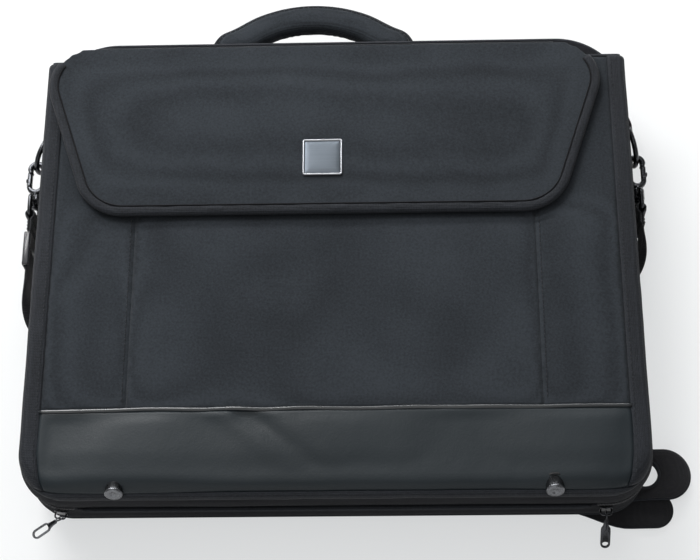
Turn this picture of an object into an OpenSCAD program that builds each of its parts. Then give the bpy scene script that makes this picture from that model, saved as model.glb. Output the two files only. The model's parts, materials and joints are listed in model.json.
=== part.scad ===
// Soft laptop case lying on its back: padded clamshell halves, front pocket with a
// flap, carry handle, and a shoulder strap clipped to two D-rings and tucked below.
// X runs across the front, Y from the foot edge to the handle, Z out of the front.
// The origin is on the table, below the middle of the body.

/* [Body] */
// Width across the front face
body_w = 400; // [350:5:430]
// Height from the foot edge to the handle edge
body_h = 322; // [290:2:350]
// How far the handle edge swells out past the frame of the front
top_swell = 11; // [4:1:14]
// How far the zip line stands out past the front face on each side
flare = 3; // [1:0.5:5]
// Depth of the rear half, from its back edge to the mouth line
rear_depth = 33; // [30:1:44]
// Depth of the lid half, from the mouth line to its front
lid_depth = 24; // [18:1:34]
// Thickness of the foam-backed walls
wall = 4; // [3:0.5:5]
// Corner radius at the handle end
top_radius = 48; // [40:1:60]
// Corner radius at the foot end
foot_radius = 28; // [24:1:34]
// Rounding of the back edge
back_round = 12; // [8:1:14]
// How far the back panel bulges below its edge
back_crown = 3.4; // [2:0.2:3.6]
// Rounding of the lid's front edge
lid_round = 3; // [2:0.5:3.5]
// Thickness of the inner linings
lining = 1; // [0.8:0.1:1.4]
// Thickness of the stiffener boards
board = 1.5; // [1:0.1:2]

/* [Zip and hinge] */
// Gap between the two shell rims, bridged by the zip or the foot hinge
rim_gap = 5; // [4.6:0.1:6]
// Thickness of the zip tapes
tape_t = 1; // [0.8:0.1:1.4]
// Width of a row of zip teeth
teeth_w = 3; // [2.4:0.2:3.4]
// Distance from each end of the foot hinge to the start of its corner
hinge_inset = 10; // [9:1:30]
// Radius of the piping cord in the foot hinge
hinge_r = 1.9; // [1.6:0.1:2]
// Width of a zip slider
slider_w = 8; // [6:0.5:9]
// Length of the right-hand zip pull
pull_len = 22; // [18:1:26]
// Width of the zip pulls
pull_w = 6.4; // [5.5:0.1:7]
// Thickness of the zip pulls
pull_t = 1.4; // [1:0.1:1.8]

/* [Front pocket] */
// Depth of the front pocket
pocket_depth = 12; // [10:1:18]
// How far the pocket's corners stop below the front's frame
pocket_drop = 12; // [10:1:20]
// Thickness of the pocket's panel
pocket_wall = 2; // [1.6:0.2:2.6]
// Rounding of the pocket along the foot edge
pocket_roll = 11; // [7:0.5:11]
// Width of the edge strips down both sides
strip_w = 10.5; // [8:0.5:14]
// Half distance between the seams of the middle panel
seam_x = 134; // [120:1:145]
// Depth of the hand cut-out in the pocket's mouth
hand_cut = 24; // [18:1:26]
// Height of the smooth band above the foot edge
band_h = 54; // [40:1:70]
// Thickness of the smooth band
band_t = 1.2; // [1:0.1:1.4]
// Thickness of the cloth panels
cloth_t = 0.9; // [0.7:0.1:1]

/* [Flap] */
// Length of the flap from its seam to its free edge
flap_len = 130; // [115:1:145]
// Widest width of the flap
flap_w = 380; // [340:2:382]
// Distance of the flap and its badge from the middle, to the left
flap_off = 8; // [0:1:9]
// Radius of the flap's shoulders
flap_shoulder = 30; // [26:1:46]
// Radius of the flap's free corners
flap_corner = 34; // [28:1:40]
// Lean of the flap's sides from straight
flap_taper = 18.5; // [8:0.5:20]
// Thickness of the flap at its edge
flap_t = 5.4; // [4.8:0.2:7]
// Width of the binding round the flap
binding_w = 5.5; // [4.5:0.5:9]
// Side of the square badge
badge_w = 27; // [20:1:34]
// Distance of the badge's middle from the flap's free edge
badge_up = 40; // [34:1:60]

/* [Feet] */
// Distance of each foot from the middle
foot_x = 139; // [110:1:150]
// Radius of a foot
foot_r = 6; // [5:0.5:7]
// How far a foot stands out
foot_len = 9; // [7:0.5:11]
// Angle of the feet from straight down
foot_lean = 20; // [15:1:25]

/* [Handle] */
// Distance of the handle from the middle, to the left
handle_off = 18; // [0:1:25]
// Distance between the handle's legs
handle_span = 126; // [118:2:140]
// Reach of the handle from its seam, to the middle of the grip
handle_rise = 34; // [30:1:44]
// Width of the padded grip
grip_w = 21; // [18:1:24]
// Thickness of the padded grip
grip_t = 14; // [11:1:16]
// Radius of the piping round the grip
piping_r = 1.2; // [0.9:0.1:1.5]

/* [Strap] */
// Width of the strap webbing
web_w = 25; // [20:1:27]
// Thickness of the webbing
web_t = 1.5; // [1.3:0.1:1.7]
// Radius of the D-ring wire
ring_wire = 1.8; // [1.5:0.1:2]
// Distance of the D-ring bars from the foot edge
ring_up = 274; // [240:1:276]
// Lean of the left D-ring away from the side
ring_lean_left = 25; // [16:1:27]
// Lean of the right D-ring away from the side
ring_lean_right = 14; // [11:1:24]
// Height of the strap hardware above the table
ring_z = 23; // [22:0.5:25]
// Width of the shoulder pad
pad_w = 33; // [28:1:36]
// Thickness of one layer of the shoulder pad
pad_t = 7; // [5:0.5:8]
// Running clearance between neighbouring moving pieces
clear = 0.3; // [0.2:0.05:0.4]

/* [Hidden] */
$fn = 48;

fabric = [0.16, 0.17, 0.19];
trim = [0.2, 0.21, 0.23];
smooth = [0.11, 0.12, 0.13];
metal = [0.42, 0.43, 0.45];
inside = [0.3, 0.31, 0.33];

gap = 0.05;
over = 1;
foot_y = -body_h / 2;
face_top = body_h / 2;
top_y = face_top + top_swell;
half_w = body_w / 2 + flare;
strap_stack = 2 * (web_t + gap) + 0.2;
back_z = strap_stack + clear + back_crown;
mouth_z = back_z + rear_depth;
rear_rim = mouth_z - rim_gap / 2;
lid_rim = mouth_z + rim_gap / 2;
lid_front = mouth_z + lid_depth;
face_z = lid_front + pocket_depth;
arc_steps = 6;
min_round = 0.3;

// ---- outlines and lofts -------------------------------------------------------

// An outline is a list of arcs: centre x, centre y, radius, first and last angle.
function box_arcs(half, low, high, top_r, low_r) = [
    [half - top_r, high - top_r, top_r, 0, 90],
    [top_r - half, high - top_r, top_r, 90, 180],
    [low_r - half, low + low_r, low_r, 180, 270],
    [half - low_r, low + low_r, low_r, 270, 360]
];

// A point of an arc after the outline has moved in; a used-up radius moves the corner.
function arc_point(c, a, inset) =
    let (r = max(c[2] - inset, min_round),
         rest = inset - c[2] + r,
         mid = (c[3] + c[4]) / 2,
         back = rest / cos((c[4] - c[3]) / 2))
    [c[0] + r * cos(a) - back * cos(mid), c[1] + r * sin(a) - back * sin(mid)];

function outline(arcs, inset) = [
    for (c = arcs) for (i = [0 : arc_steps])
        arc_point(c, c[3] + (c[4] - c[3]) * i / arc_steps, inset)
];

function ring(arcs, inset, z) = [for (p = outline(arcs, inset)) [p[0], p[1], z]];

// A closed solid through rings of equal length, ordered along the solid.
module loft(rings) {
    n = len(rings[0]);
    last = len(rings) - 1;
    polyhedron(
        points = [for (r = rings) each r],
        faces = concat(
            [[for (i = [0 : n - 1]) i]],
            [for (j = [0 : last - 1]) for (i = [0 : n - 1]) for (side = [0, 1])
                let (k = (i + 1) % n, a = j * n + i, b = j * n + k)
                side == 0 ? [a, a + n, b + n] : [a, b + n, b]],
            [[for (i = [n - 1 : -1 : 0]) last * n + i]]
        )
    );
}

module slab(arcs, inset, z, height) {
    translate([0, 0, z]) linear_extrude(height) polygon(outline(arcs, inset));
}

module both_sides() {
    children();
    mirror([1, 0, 0]) children();
}

body_arcs = box_arcs(half_w, foot_y, top_y, top_radius, foot_radius);

// ---- rear half ----------------------------------------------------------------

floor_z = back_z + wall;
floor_slope = 6;

module rear_form(grow) {
    loft(concat(
        [ring(body_arcs, 140, back_z - back_crown - grow),
         ring(body_arcs, 90, back_z - back_crown * 0.9 - grow),
         ring(body_arcs, 45, back_z - back_crown * 0.5 - grow)],
        [for (a = [0 : 22.5 : 90])
            ring(body_arcs, back_round * (1 - sin(a)) - grow,
                 back_z + back_round * (1 - cos(a)) - grow * cos(a))],
        [ring(body_arcs, -grow, rear_rim)]
    ));
}

module rear_cavity(inset, low) {
    loft([
        ring(body_arcs, wall + floor_slope + inset, floor_z + low),
        ring(body_arcs, wall + inset, floor_z + floor_slope + low),
        ring(body_arcs, wall + inset, rear_rim + over)
    ]);
}

module rear_shell() color(fabric) difference() {
    rear_form(0);
    rear_cavity(0, 0);
}

module rear_board() color(inside) slab(body_arcs, wall + floor_slope + gap, floor_z + gap, board);

lining_z = board + 2 * gap;

module rear_lining() color(inside) intersection() {
    difference() {
        rear_cavity(gap, lining_z);
        rear_cavity(gap + lining, lining_z + lining);
    }
    translate([-body_w, -body_h, 0]) cube([2 * body_w, 2 * body_h, rear_rim]);
}

// ---- zip ----------------------------------------------------------------------

hinge_len = 2 * (half_w - foot_radius - hinge_inset);
zip_start = hinge_len / 2 + 3;

// Everything of a rim except the stretch along the foot hinge.
module off_hinge() {
    difference() {
        children();
        translate([-zip_start, foot_y - 10, 0]) cube([2 * zip_start, 30, 2 * mouth_z]);
    }
}

module rim_band(outside, inside_edge, z, height) {
    off_hinge() difference() {
        slab(body_arcs, outside, z, height);
        slab(body_arcs, inside_edge, z - over, height + 2 * over);
    }
}

teeth_t = 1;
tape_h = rim_gap / 2 - clear / 2 - teeth_t - gap;

module rear_tape() color(trim) rim_band(0.6, 0.6 + tape_t, rear_rim + gap, tape_h - gap);
module lid_tape() color(trim) rim_band(0.6, 0.6 + tape_t, lid_rim - tape_h, tape_h - gap);

teeth_out = teeth_w / 2 - 1.1;

module rear_teeth() color(trim)
    rim_band(-teeth_out, teeth_w - teeth_out, mouth_z - clear / 2 - teeth_t, teeth_t);
module lid_teeth() color(trim)
    rim_band(-teeth_out, teeth_w - teeth_out, mouth_z + clear / 2, teeth_t);

hinge_y = foot_y - teeth_out - 0.6;

module hinge_piping() color(trim)
    translate([-hinge_len / 2, hinge_y, mouth_z]) rotate([0, 90, 0]) cylinder(r = hinge_r, h = hinge_len);

module hinge_strip() color(fabric) {
    strip_low = rear_rim + gap;
    translate([-hinge_len / 2, hinge_y + hinge_r + gap, strip_low])
        cube([hinge_len, tape_t, mouth_z - strip_low]);
    translate([-hinge_len / 2, hinge_y, strip_low])
        cube([hinge_len, hinge_r + 2 * gap, mouth_z - hinge_r - strip_low - gap]);
}

// ---- inside the rear half -----------------------------------------------------

bay_z = floor_z + lining_z + lining;
hold_z = rear_rim - 2 * web_t - 0.3;
hold_y = foot_y + body_h * 0.62;
hold_x = half_w - wall - 2 * gap - lining;

// The retaining strap of the laptop bay: a sewn half and a half that fastens over it.
module laptop_strap() color(trim) {
    translate([-hold_x, hold_y, hold_z]) cube([hold_x + 20, web_w, web_t]);
    translate([-hold_x, hold_y, bay_z + gap + 8]) cube([web_t, web_w, hold_z - bay_z - gap - 8]);
}

module laptop_strap_tab() color(inside) {
    translate([-30, hold_y, hold_z + web_t + gap]) cube([30 + hold_x, web_w, web_t]);
}

// ---- lid half -----------------------------------------------------------------

module lid_form() {
    loft(concat(
        [ring(body_arcs, 0, lid_rim), ring(body_arcs, -0.8, (lid_rim + lid_front) / 2)],
        [for (a = [0 : 30 : 90])
            ring(body_arcs, lid_round * (1 - cos(a)), lid_front - lid_round * (1 - sin(a)))]
    ));
}

lid_ceiling = lid_front - wall;

module lid_cavity(inset, low) {
    loft([
        ring(body_arcs, wall + inset, lid_rim - over),
        ring(body_arcs, wall + inset, lid_ceiling - 4 - low),
        ring(body_arcs, wall + 4 + inset, lid_ceiling - low)
    ]);
}

module lid_shell() color(fabric) difference() {
    lid_form();
    lid_cavity(0, 0);
}

module lid_board() color(inside)
    slab(body_arcs, wall + 6, lid_ceiling - board - gap, board);

module lid_lining() color(inside) intersection() {
    difference() {
        lid_cavity(gap, lining_z);
        lid_cavity(gap + lining, lining_z + lining);
    }
    translate([-body_w, -body_h, lid_rim]) cube([2 * body_w, 2 * body_h, lid_depth]);
}

lid_inner = lid_ceiling - lining_z - lining;
organiser_h = body_h * 0.5;
organiser_w = body_w * 0.78;
organiser_t = 8;

// The document pocket sewn inside the lid, open towards the handle edge.
module organiser_pocket() color(inside) {
    low = foot_y + 30;
    difference() {
        translate([-organiser_w / 2, low, lid_inner - organiser_t])
            cube([organiser_w, organiser_h, organiser_t - gap]);
        translate([-organiser_w / 2 + lining, low + lining, lid_inner - organiser_t + lining])
            cube([organiser_w - 2 * lining, organiser_h, organiser_t]);
    }
}

pen_r = 5;
pen_pitch = 16;

// Three pen loops beside each other above the document pocket.
module pen_loops() color(inside)
    for (i = [-1 : 1]) translate([i * pen_pitch, face_top - 92, lid_inner - pen_r - 1.4]) difference() {
        rotate([-90, 0, 0]) cylinder(r = pen_r + 1.2, h = 30);
        translate([0, -over, 0]) rotate([-90, 0, 0]) cylinder(r = pen_r, h = 30 + 2 * over);
    }

// ---- front pocket -------------------------------------------------------------

pocket_top = face_top - pocket_drop;
pocket_half = body_w / 2;

function pocket_arcs(raise) = box_arcs(pocket_half, foot_y + raise, pocket_top, 4, foot_radius);

side_roll = 2.5;
roll = min(pocket_roll, pocket_depth - 0.8);
puff = 1.2;

module pocket_form(grow) {
    loft(concat(
        [ring(pocket_arcs(0), -grow, lid_front + gap)],
        [for (a = [0 : 22.5 : 90])
            ring(pocket_arcs(roll * (1 - cos(a))), side_roll * (1 - cos(a)) - grow,
                 face_z - roll + (roll + grow) * sin(a))],
        [ring(pocket_arcs(roll), 26, face_z + puff * 0.7 + grow),
         ring(pocket_arcs(roll), 75, face_z + puff + grow)]
    ));
}

// A layer of the given thickness on the pocket, cut to its children's region.
module pocket_skin(thickness, lift = 0) {
    intersection() {
        difference() {
            pocket_form(lift + gap + thickness);
            pocket_form(lift + gap);
        }
        children();
    }
}

module region(x0, x1, y0, y1, z0) {
    translate([x0, y0, z0]) cube([x1 - x0, y1 - y0, 2 * face_z]);
}

hand_half = 150;

module hand_opening(z0) {
    translate([0, 0, z0]) linear_extrude(2 * face_z) polygon([
        [-hand_half, pocket_top + 6], [-hand_half + hand_cut, pocket_top - hand_cut],
        [hand_half - hand_cut, pocket_top - hand_cut], [hand_half, pocket_top + 6]
    ]);
}

foot_base_z = face_z - 3.6;
foot_base_y = foot_y + 7.5;

module foot_axis() {
    translate([foot_x, foot_base_y, foot_base_z]) rotate([90 - foot_lean, 0, 0]) children();
}

// Holes for both feet, through the pocket's wall and its band.
module foot_holes() {
    both_sides() foot_axis() translate([0, 0, -14]) cylinder(r = foot_r + clear, h = 30);
}

module pocket_shell() color(fabric) difference() {
    pocket_form(0);
    slab(box_arcs(pocket_half - pocket_wall, foot_y + roll * 0.7, pocket_top + 30, 4, foot_radius - 4),
         0, lid_front - over, pocket_depth - pocket_wall + over);
    hand_opening(lid_front - over);
    foot_holes();
}

band_top = foot_y + band_h;
strip_x = pocket_half - strip_w;
seam_gap = 0.5;
welt_h = 4;

module middle_panel() color(fabric) difference() {
    pocket_skin(cloth_t) region(-seam_x, seam_x, band_top + welt_h + gap, pocket_top - 2, lid_front + 4);
    hand_opening(lid_front);
}

module side_panels() color(fabric) difference() {
    both_sides() pocket_skin(cloth_t)
        region(seam_x + seam_gap, strip_x - seam_gap, band_top + welt_h + gap, pocket_top - 2, lid_front + 4);
    hand_opening(lid_front);
}

module edge_strips() color(trim) both_sides() pocket_skin(cloth_t + 0.3)
    region(strip_x, body_w, foot_y + foot_radius, body_h, lid_front + 2);

module foot_band() color(smooth) difference() {
    pocket_skin(band_t) region(-strip_x + seam_gap, strip_x - seam_gap, foot_y - 10, band_top, lid_front + 3);
    foot_holes();
}

module band_welt() color(smooth)
    pocket_skin(band_t + 0.5) region(-strip_x + seam_gap, strip_x - seam_gap,
                                     band_top + gap, band_top + welt_h, face_z - 6);

// The bound edge below the band, which runs on round both foot corners.
module foot_binding() color(trim) difference() {
    pocket_skin(cloth_t + 0.3)
        region(-body_w, body_w, foot_y - 10, foot_y + foot_radius - seam_gap, lid_front);
    region(-strip_x, strip_x, foot_y - 10, body_h, lid_front + 3 - gap);
}

rivet_t = 1.5;
shank_r = 2.6;

module front_feet() color(metal) both_sides() foot_axis() {
    cylinder(r = foot_r, h = foot_len - 1.2);
    translate([0, 0, foot_len - 1.2]) cylinder(r1 = foot_r, r2 = foot_r - 1.2, h = 1.2);
    translate([0, 0, -5]) cylinder(r = shank_r, h = 5 + gap);
    translate([0, 0, -1.2]) cylinder(r = foot_r, h = 1.2 + gap);
}

module foot_rivets() color(metal) both_sides() foot_axis() difference() {
    translate([0, 0, -1.2 - gap - rivet_t]) cylinder(r = foot_r, h = rivet_t);
    translate([0, 0, -10]) cylinder(r = shank_r + gap, h = 20);
}

// ---- flap ---------------------------------------------------------------------

flap_seam = face_top - 2;
flap_low = flap_seam - flap_len;
panel_z = face_z + puff + cloth_t + gap;
loop_t = 0.5;
binding_t = 0.8;
flap_z = panel_z + 2 * gap + 2 * loop_t + clear - binding_t;
shoulder_x = flap_w / 2 - flap_shoulder;
side_reach = shoulder_x * cos(flap_taper) - (flap_seam - flap_shoulder) * sin(flap_taper) + flap_shoulder;
corner_x = (side_reach - flap_corner + (flap_low + flap_corner) * sin(flap_taper)) / cos(flap_taper);
flap_arcs = [
    [shoulder_x - flap_off, flap_seam - flap_shoulder, flap_shoulder, -flap_taper, 90],
    [-shoulder_x - flap_off, flap_seam - flap_shoulder, flap_shoulder, 90, 180 + flap_taper],
    [-corner_x - flap_off, flap_low + flap_corner, flap_corner, 180 + flap_taper, 270],
    [corner_x - flap_off, flap_low + flap_corner, flap_corner, 270, 360 - flap_taper]
];
flap_puff = 0.9;

module flap_form(grow) {
    loft([
        ring(flap_arcs, 1.4 - grow, flap_z + binding_t - grow),
        ring(flap_arcs, binding_t - grow, flap_z + 1.8 - grow * 0.6),
        ring(flap_arcs, binding_t - grow, flap_z + flap_t - 1.6 + grow * 0.4),
        ring(flap_arcs, 2 - grow, flap_z + flap_t - 0.5 + grow * 0.8),
        ring(flap_arcs, 6, flap_z + flap_t + grow),
        ring(flap_arcs, 26, flap_z + flap_t + flap_puff * 0.6 + grow),
        ring(flap_arcs, 52, flap_z + flap_t + flap_puff + grow)
    ]);
}

module flap_panel() color(fabric) difference() {
    flap_form(0);
    translate([-body_w, -body_h, 0]) cube([2 * body_w, 2 * body_h, flap_z + binding_t + lining]);
}

module flap_lining() color(inside) slab(flap_arcs, 1.6, flap_z + binding_t, lining - gap);

module flap_binding() color(trim) difference() {
    flap_form(binding_t);
    flap_form(gap);
    slab(flap_arcs, binding_w, 0, 2 * face_z);
    translate([-body_w, flap_seam - flap_shoulder * 0.35, 0]) cube([2 * body_w, body_h, 2 * face_z]);
}

loop_w = 60;
loop_h = 20;
loop_y = flap_low + 14;

module flap_loops() color(trim) for (x = [-1, 1])
    translate([x * 70 - loop_w / 2, loop_y, panel_z + gap]) cube([loop_w, loop_h, loop_t]);

module flap_hooks() color(trim) for (x = [-1, 1])
    translate([x * 70 - loop_w / 2, loop_y, flap_z + binding_t - gap - loop_t])
        cube([loop_w, loop_h, loop_t]);

flap_pivot_y = flap_seam + 1.2;
strip_t = 1.5;
strip_in = 5;
flap_cord_r = 1.1;

// The strip that carries the flap's seam up from the lid, with a cord along its top.
module flap_strip() color(fabric) translate([-shoulder_x - flap_off, 0, 0]) rotate([90, 0, 90]) {
    linear_extrude(2 * shoulder_x) polygon([
        [flap_pivot_y - strip_in, lid_front + gap], [flap_pivot_y - strip_in + strip_t, lid_front + gap],
        [flap_pivot_y + flap_cord_r * 0.6, flap_z], [flap_pivot_y - flap_cord_r * 0.9, flap_z]
    ]);
    translate([flap_pivot_y, flap_z, 0]) cylinder(r = flap_cord_r, h = 2 * shoulder_x);
}

badge_z = flap_z + flap_t + flap_puff + gap;
badge_y = flap_low + badge_up;
rim_w = 1.4;
badge_t = 1.5;

module badge_at() {
    translate([-flap_off, badge_y, badge_z]) children();
}

module badge_rim() color(metal) badge_at() difference() {
    linear_extrude(badge_t) polygon(outline(box_arcs(badge_w / 2, -badge_w / 2, badge_w / 2, 1.6, 1.6), 0));
    translate([0, 0, 0.5]) linear_extrude(badge_t)
        polygon(outline(box_arcs(badge_w / 2, -badge_w / 2, badge_w / 2, 1.6, 1.6), rim_w));
}

module badge_plate() color([0.16, 0.2, 0.26]) badge_at() translate([0, 0, 0.5 + gap]) linear_extrude(0.6)
    polygon(outline(box_arcs(badge_w / 2, -badge_w / 2, badge_w / 2, 1.6, 1.6), rim_w + gap));

// ---- handle -------------------------------------------------------------------

handle_z = mouth_z - 10;
handle_y = top_y + 3.6;
grip_start = 9;
arch_r = 87;
leg_r = 2;
leg_w = 19;
ear_t = 2.5;

// The grip's middle line, with the angle that it faces outward at each point.
handle_half = handle_span / 2;
arch_y = handle_rise - arch_r;
arch_path = concat(
    [[-handle_half, grip_start, 180], [4.5 - handle_half, grip_start + 6, 150]],
    [for (a = [126 : -12 : 54]) [arch_r * cos(a), arch_y + arch_r * sin(a), a]],
    [[handle_half - 4.5, grip_start + 6, 30], [handle_half, grip_start, 0]]
);

// A tube along the arch: out moves it off the middle line, w and t are its half sizes.
module arch_tube(out, w, t, sides) {
    last = len(arch_path) - 1;
    loft([for (k = [0 : last])
        let (p = arch_path[k], end = k == 0 || k == last ? 0.86 : 1)
        [for (i = [0 : sides - 1])
            let (a = 360 * (i + 0.5) / sides, s = out + w * end * cos(a) * pow(abs(cos(a)), -0.25))
            [p[0] + s * cos(p[2]), p[1] + s * sin(p[2]), t * end * sin(a) * pow(abs(sin(a)), -0.25)]]
    ]);
}

module handle_at() {
    translate([-handle_off, handle_y, handle_z]) children();
}

module handle_grip() color(fabric) handle_at() arch_tube(0, grip_w / 2, grip_t / 2, 16);
module handle_piping() color(trim) handle_at()
    arch_tube(grip_w / 2 + piping_r + gap, piping_r, piping_r, 8);

leg_t = 2.4;
anchor_pin = 1;

// The webbing legs of the handle, each with a sewn eye at the seam.
module handle_legs() color(trim) handle_at() both_sides() translate([handle_half, 0, 0]) difference() {
    union() {
        translate([-leg_w / 2, 0, 0]) rotate([0, 90, 0]) cylinder(r = leg_r, h = leg_w);
        translate([-leg_w / 2, 0, -leg_t / 2]) cube([leg_w, grip_start - gap, leg_t]);
    }
    translate([-leg_w / 2 - over, 0, 0]) rotate([0, 90, 0])
        cylinder(r = anchor_pin + 0.1, h = leg_w + 2 * over);
}

module handle_anchors() color(trim)
    translate([-handle_off, 0, 0]) both_sides() translate([handle_half - leg_w / 2 - ear_t - clear, 0, 0]) {
        width = leg_w + 2 * (ear_t + clear);
        translate([0, top_y + gap, handle_z - 9]) cube([width, 1.2, 15]);
        for (x = [0, width - ear_t])
            translate([x, top_y + gap, handle_z - leg_r - 1])
                cube([ear_t, handle_y - top_y + leg_r, 2 * leg_r + 2]);
        translate([0, handle_y, handle_z]) rotate([0, 90, 0]) cylinder(r = anchor_pin, h = width);
    }

// ---- D-rings, hooks and swivels -----------------------------------------------

loop_r = ring_wire + clear + web_t;
ring_x = half_w + clear + loop_r;
ring_half = web_w / 2 + 1.8;
ring_leg = 8;
ring_bar_y = foot_y + ring_up;
ring_reach = ring_leg + ring_half;
tab_w = web_w - 2;

module ring_tab() color(trim) translate([ring_x, ring_bar_y, ring_z - tab_w / 2]) {
    difference() {
        union() {
            cylinder(r = loop_r, h = tab_w);
            translate([-loop_r, 0, 0]) cube([2 * web_t, 26, tab_w]);
        }
        translate([0, 0, -over]) cylinder(r = ring_wire + clear, h = tab_w + 2 * over);
    }
}

// The D-ring in its own place: bar on the axis, bow towards -Y, turned out by lean.
module d_ring(lean) color(metal) translate([ring_x, ring_bar_y, ring_z]) rotate([0, 0, lean]) {
    translate([0, 0, -ring_half]) cylinder(r = ring_wire, h = 2 * ring_half);
    for (z = [-ring_half, ring_half]) {
        translate([0, 0, z]) sphere(r = ring_wire);
        translate([0, 0, z]) rotate([90, 0, 0]) cylinder(r = ring_wire, h = ring_leg);
    }
    translate([0, -ring_leg, 0]) rotate([0, 90, 0]) rotate([0, 0, 180])
        rotate_extrude(angle = 180) translate([ring_half, 0]) circle(r = ring_wire);
}

hook_w = 13.4;
bow_gap = 0.9;
hook_bar = 3.8;
hook_len = 26;
hook_t = 6.4;
gate_t = 4.4;
pin_r = 0.9;
eye_half = web_w / 2 + 2.4;
eye_r = 1.7;
stem_r = 2;

function hook_x(lean) = ring_x + ring_reach * sin(lean);
function hook_top(lean) = ring_bar_y - ring_reach * cos(lean) + ring_wire + bow_gap + hook_bar;

// Places its children with the hook's outer top at the origin.
module hook_at(lean) {
    translate([hook_x(lean), hook_top(lean), ring_z]) children();
}

module oval(w, h) {
    translate([0, -w / 2]) circle(d = w);
    translate([0, w / 2 - h]) circle(d = w);
    translate([-w / 2, w / 2 - h]) square([w, h - w]);
}

gate_low = 19;
gate_high = 8.6;
gate_x = hook_w / 2 - hook_bar / 2;

module hook(lean) color(metal) hook_at(lean) {
    difference() {
        translate([0, 0, -hook_t / 2]) linear_extrude(hook_t) oval(hook_w, hook_len);
        translate([0, -hook_bar, -hook_t]) linear_extrude(2 * hook_t)
            oval(hook_w - 2 * hook_bar, hook_len - 2 * hook_bar);
        translate([hook_w / 2 - hook_bar - over, -gate_low + 2.6, -hook_t])
            cube([hook_bar + 2 * over, gate_low - 2.6 - gate_high, 2 * hook_t]);
        translate([hook_w / 2 - hook_bar - over, -gate_low - clear - 2.4, -gate_t / 2 - clear])
            cube([hook_bar + 2 * over, gate_low - gate_high, gate_t + 2 * clear]);
    }
    translate([gate_x, -gate_low, -hook_t / 2]) cylinder(r = pin_r, h = hook_t);
    translate([0, -hook_len - 9.5, 0]) rotate([-90, 0, 0]) cylinder(r = stem_r, h = 10);
    translate([0, -hook_len - 10.9, 0]) rotate([-90, 0, 0]) cylinder(r = stem_r + 1.2, h = 1.5);
}

module gate(lean) color(metal) hook_at(lean) translate([gate_x, -gate_low, -gate_t / 2]) difference() {
    union() {
        cylinder(r = 2.2, h = gate_t);
        translate([-hook_bar / 2 + 0.2, 0, 0]) cube([hook_bar - 0.4, gate_low - gate_high - clear, gate_t]);
    }
    translate([0, 0, -over]) cylinder(r = pin_r + 0.1, h = gate_t + 2 * over);
}

collar_y = -hook_len - 0.4 - 8.8;
eye_y = -hook_len - 20;

module swivel(lean) color(metal) hook_at(lean) {
    difference() {
        translate([0, collar_y, 0]) rotate([-90, 0, 0]) cylinder(r = 4.4, h = 8.6);
        translate([0, collar_y - over, 0]) rotate([-90, 0, 0]) cylinder(r = stem_r + 0.1, h = 12);
    }
    for (z = [-1, 1]) {
        translate([0, collar_y + 3, z > 0 ? 4 : -eye_half]) cylinder(r = eye_r, h = eye_half - 4);
        translate([0, collar_y + 3, z * eye_half]) sphere(r = eye_r);
        translate([0, eye_y, z * eye_half]) rotate([-90, 0, 0]) cylinder(r = eye_r, h = collar_y + 3 - eye_y);
        translate([0, eye_y, z * eye_half]) sphere(r = eye_r);
    }
    translate([0, eye_y, -eye_half]) cylinder(r = eye_r, h = 2 * eye_half);
}

// ---- strap --------------------------------------------------------------------

// Frames along a strap: place, heading from +Y in plan, and lean of the width from
// upright. The ribbon's width runs up at lean 0 and lies flat at lean 90.
function across(f) = [cos(f[3]) * sin(f[4]), sin(f[3]) * sin(f[4]), cos(f[4])];
function facing(f) = [cos(f[3]) * cos(f[4]), sin(f[3]) * cos(f[4]), -sin(f[4])];

module ribbon(frames) {
    loft([for (f = frames)
        let (p = [f[0], f[1], f[2]], u = across(f) * web_w / 2, n = facing(f) * web_t / 2)
        [p + u + n, p + u - n, p - u - n, p - u + n]]);
}

loop_out = eye_r + 0.6 + web_t;

// The sewn end of the webbing round a swivel's eye.
module web_loop(lean) {
    hook_at(lean) translate([0, eye_y, -web_w / 2]) difference() {
        union() {
            cylinder(r = loop_out, h = web_w);
            translate([-web_t, -loop_out - tail, 0]) cube([2 * web_t, loop_out + tail - eye_r - 0.6, web_w]);
        }
        translate([0, 0, -over]) cylinder(r = eye_r + 0.6, h = web_w + 2 * over);
    }
}

tail = 9;
right_x = hook_x(ring_lean_right);
right_y = hook_top(ring_lean_right) + eye_y - loop_out - tail - clear;
left_x = hook_x(ring_lean_left);
left_y = hook_top(ring_lean_left) + eye_y - loop_out - tail - clear;
slide_len = 25;
under_x = half_w - 53;
fold = [-75, 75];
right_end = [under_x, 5];
left_end = [-under_x, -36];
cross_over = [52, -100];

function heading(a, b) = atan2(b[1] - a[1], b[0] - a[0]);

function smooth(t) = let (c = max(0, min(1, t))) c * c * (3 - 2 * c);

// From upright at the side to flat on the table under the body, on the right side.
function twist_run(x, y, low, x_end, y_end, turn) = [
    for (t = [0 : 0.1 : 1]) let (s = smooth(t / 0.62))
        [x + (x_end - x) * t * t, y + (y_end - y) * (1 - (1 - t) * (1 - t)),
         ring_z + (low - ring_z) * s, turn * smooth(t), 90 * s]
];

module strap_right() color(trim)
    ribbon(twist_run(right_x, right_y, web_t * 1.5 + gap, right_end[0] + clear, right_end[1],
                     heading(fold, right_end) - 90));

module strap_left() color(trim) mirror([1, 0, 0])
    ribbon(concat([[left_x, left_y, ring_z, 0, 0]],
        twist_run(left_x, left_y - slide_len - 11, web_t / 2, clear - left_end[0], left_end[1],
                  -90 - heading(left_end, cross_over))));

module web_loop_left() color(trim) mirror([1, 0, 0]) web_loop(ring_lean_left);
module web_loop_right() color(trim) web_loop(ring_lean_right);

// A flat strip on the table between two points, one layer up for each level.
module strip(a, b, level) {
    d = b - a;
    translate([a[0], a[1], level * (web_t + gap)]) rotate([0, 0, atan2(d[1], d[0])])
        translate([0, -web_w / 2, 0]) cube([norm(d), web_w, web_t]);
}

pad_in = half_w - 53;

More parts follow.
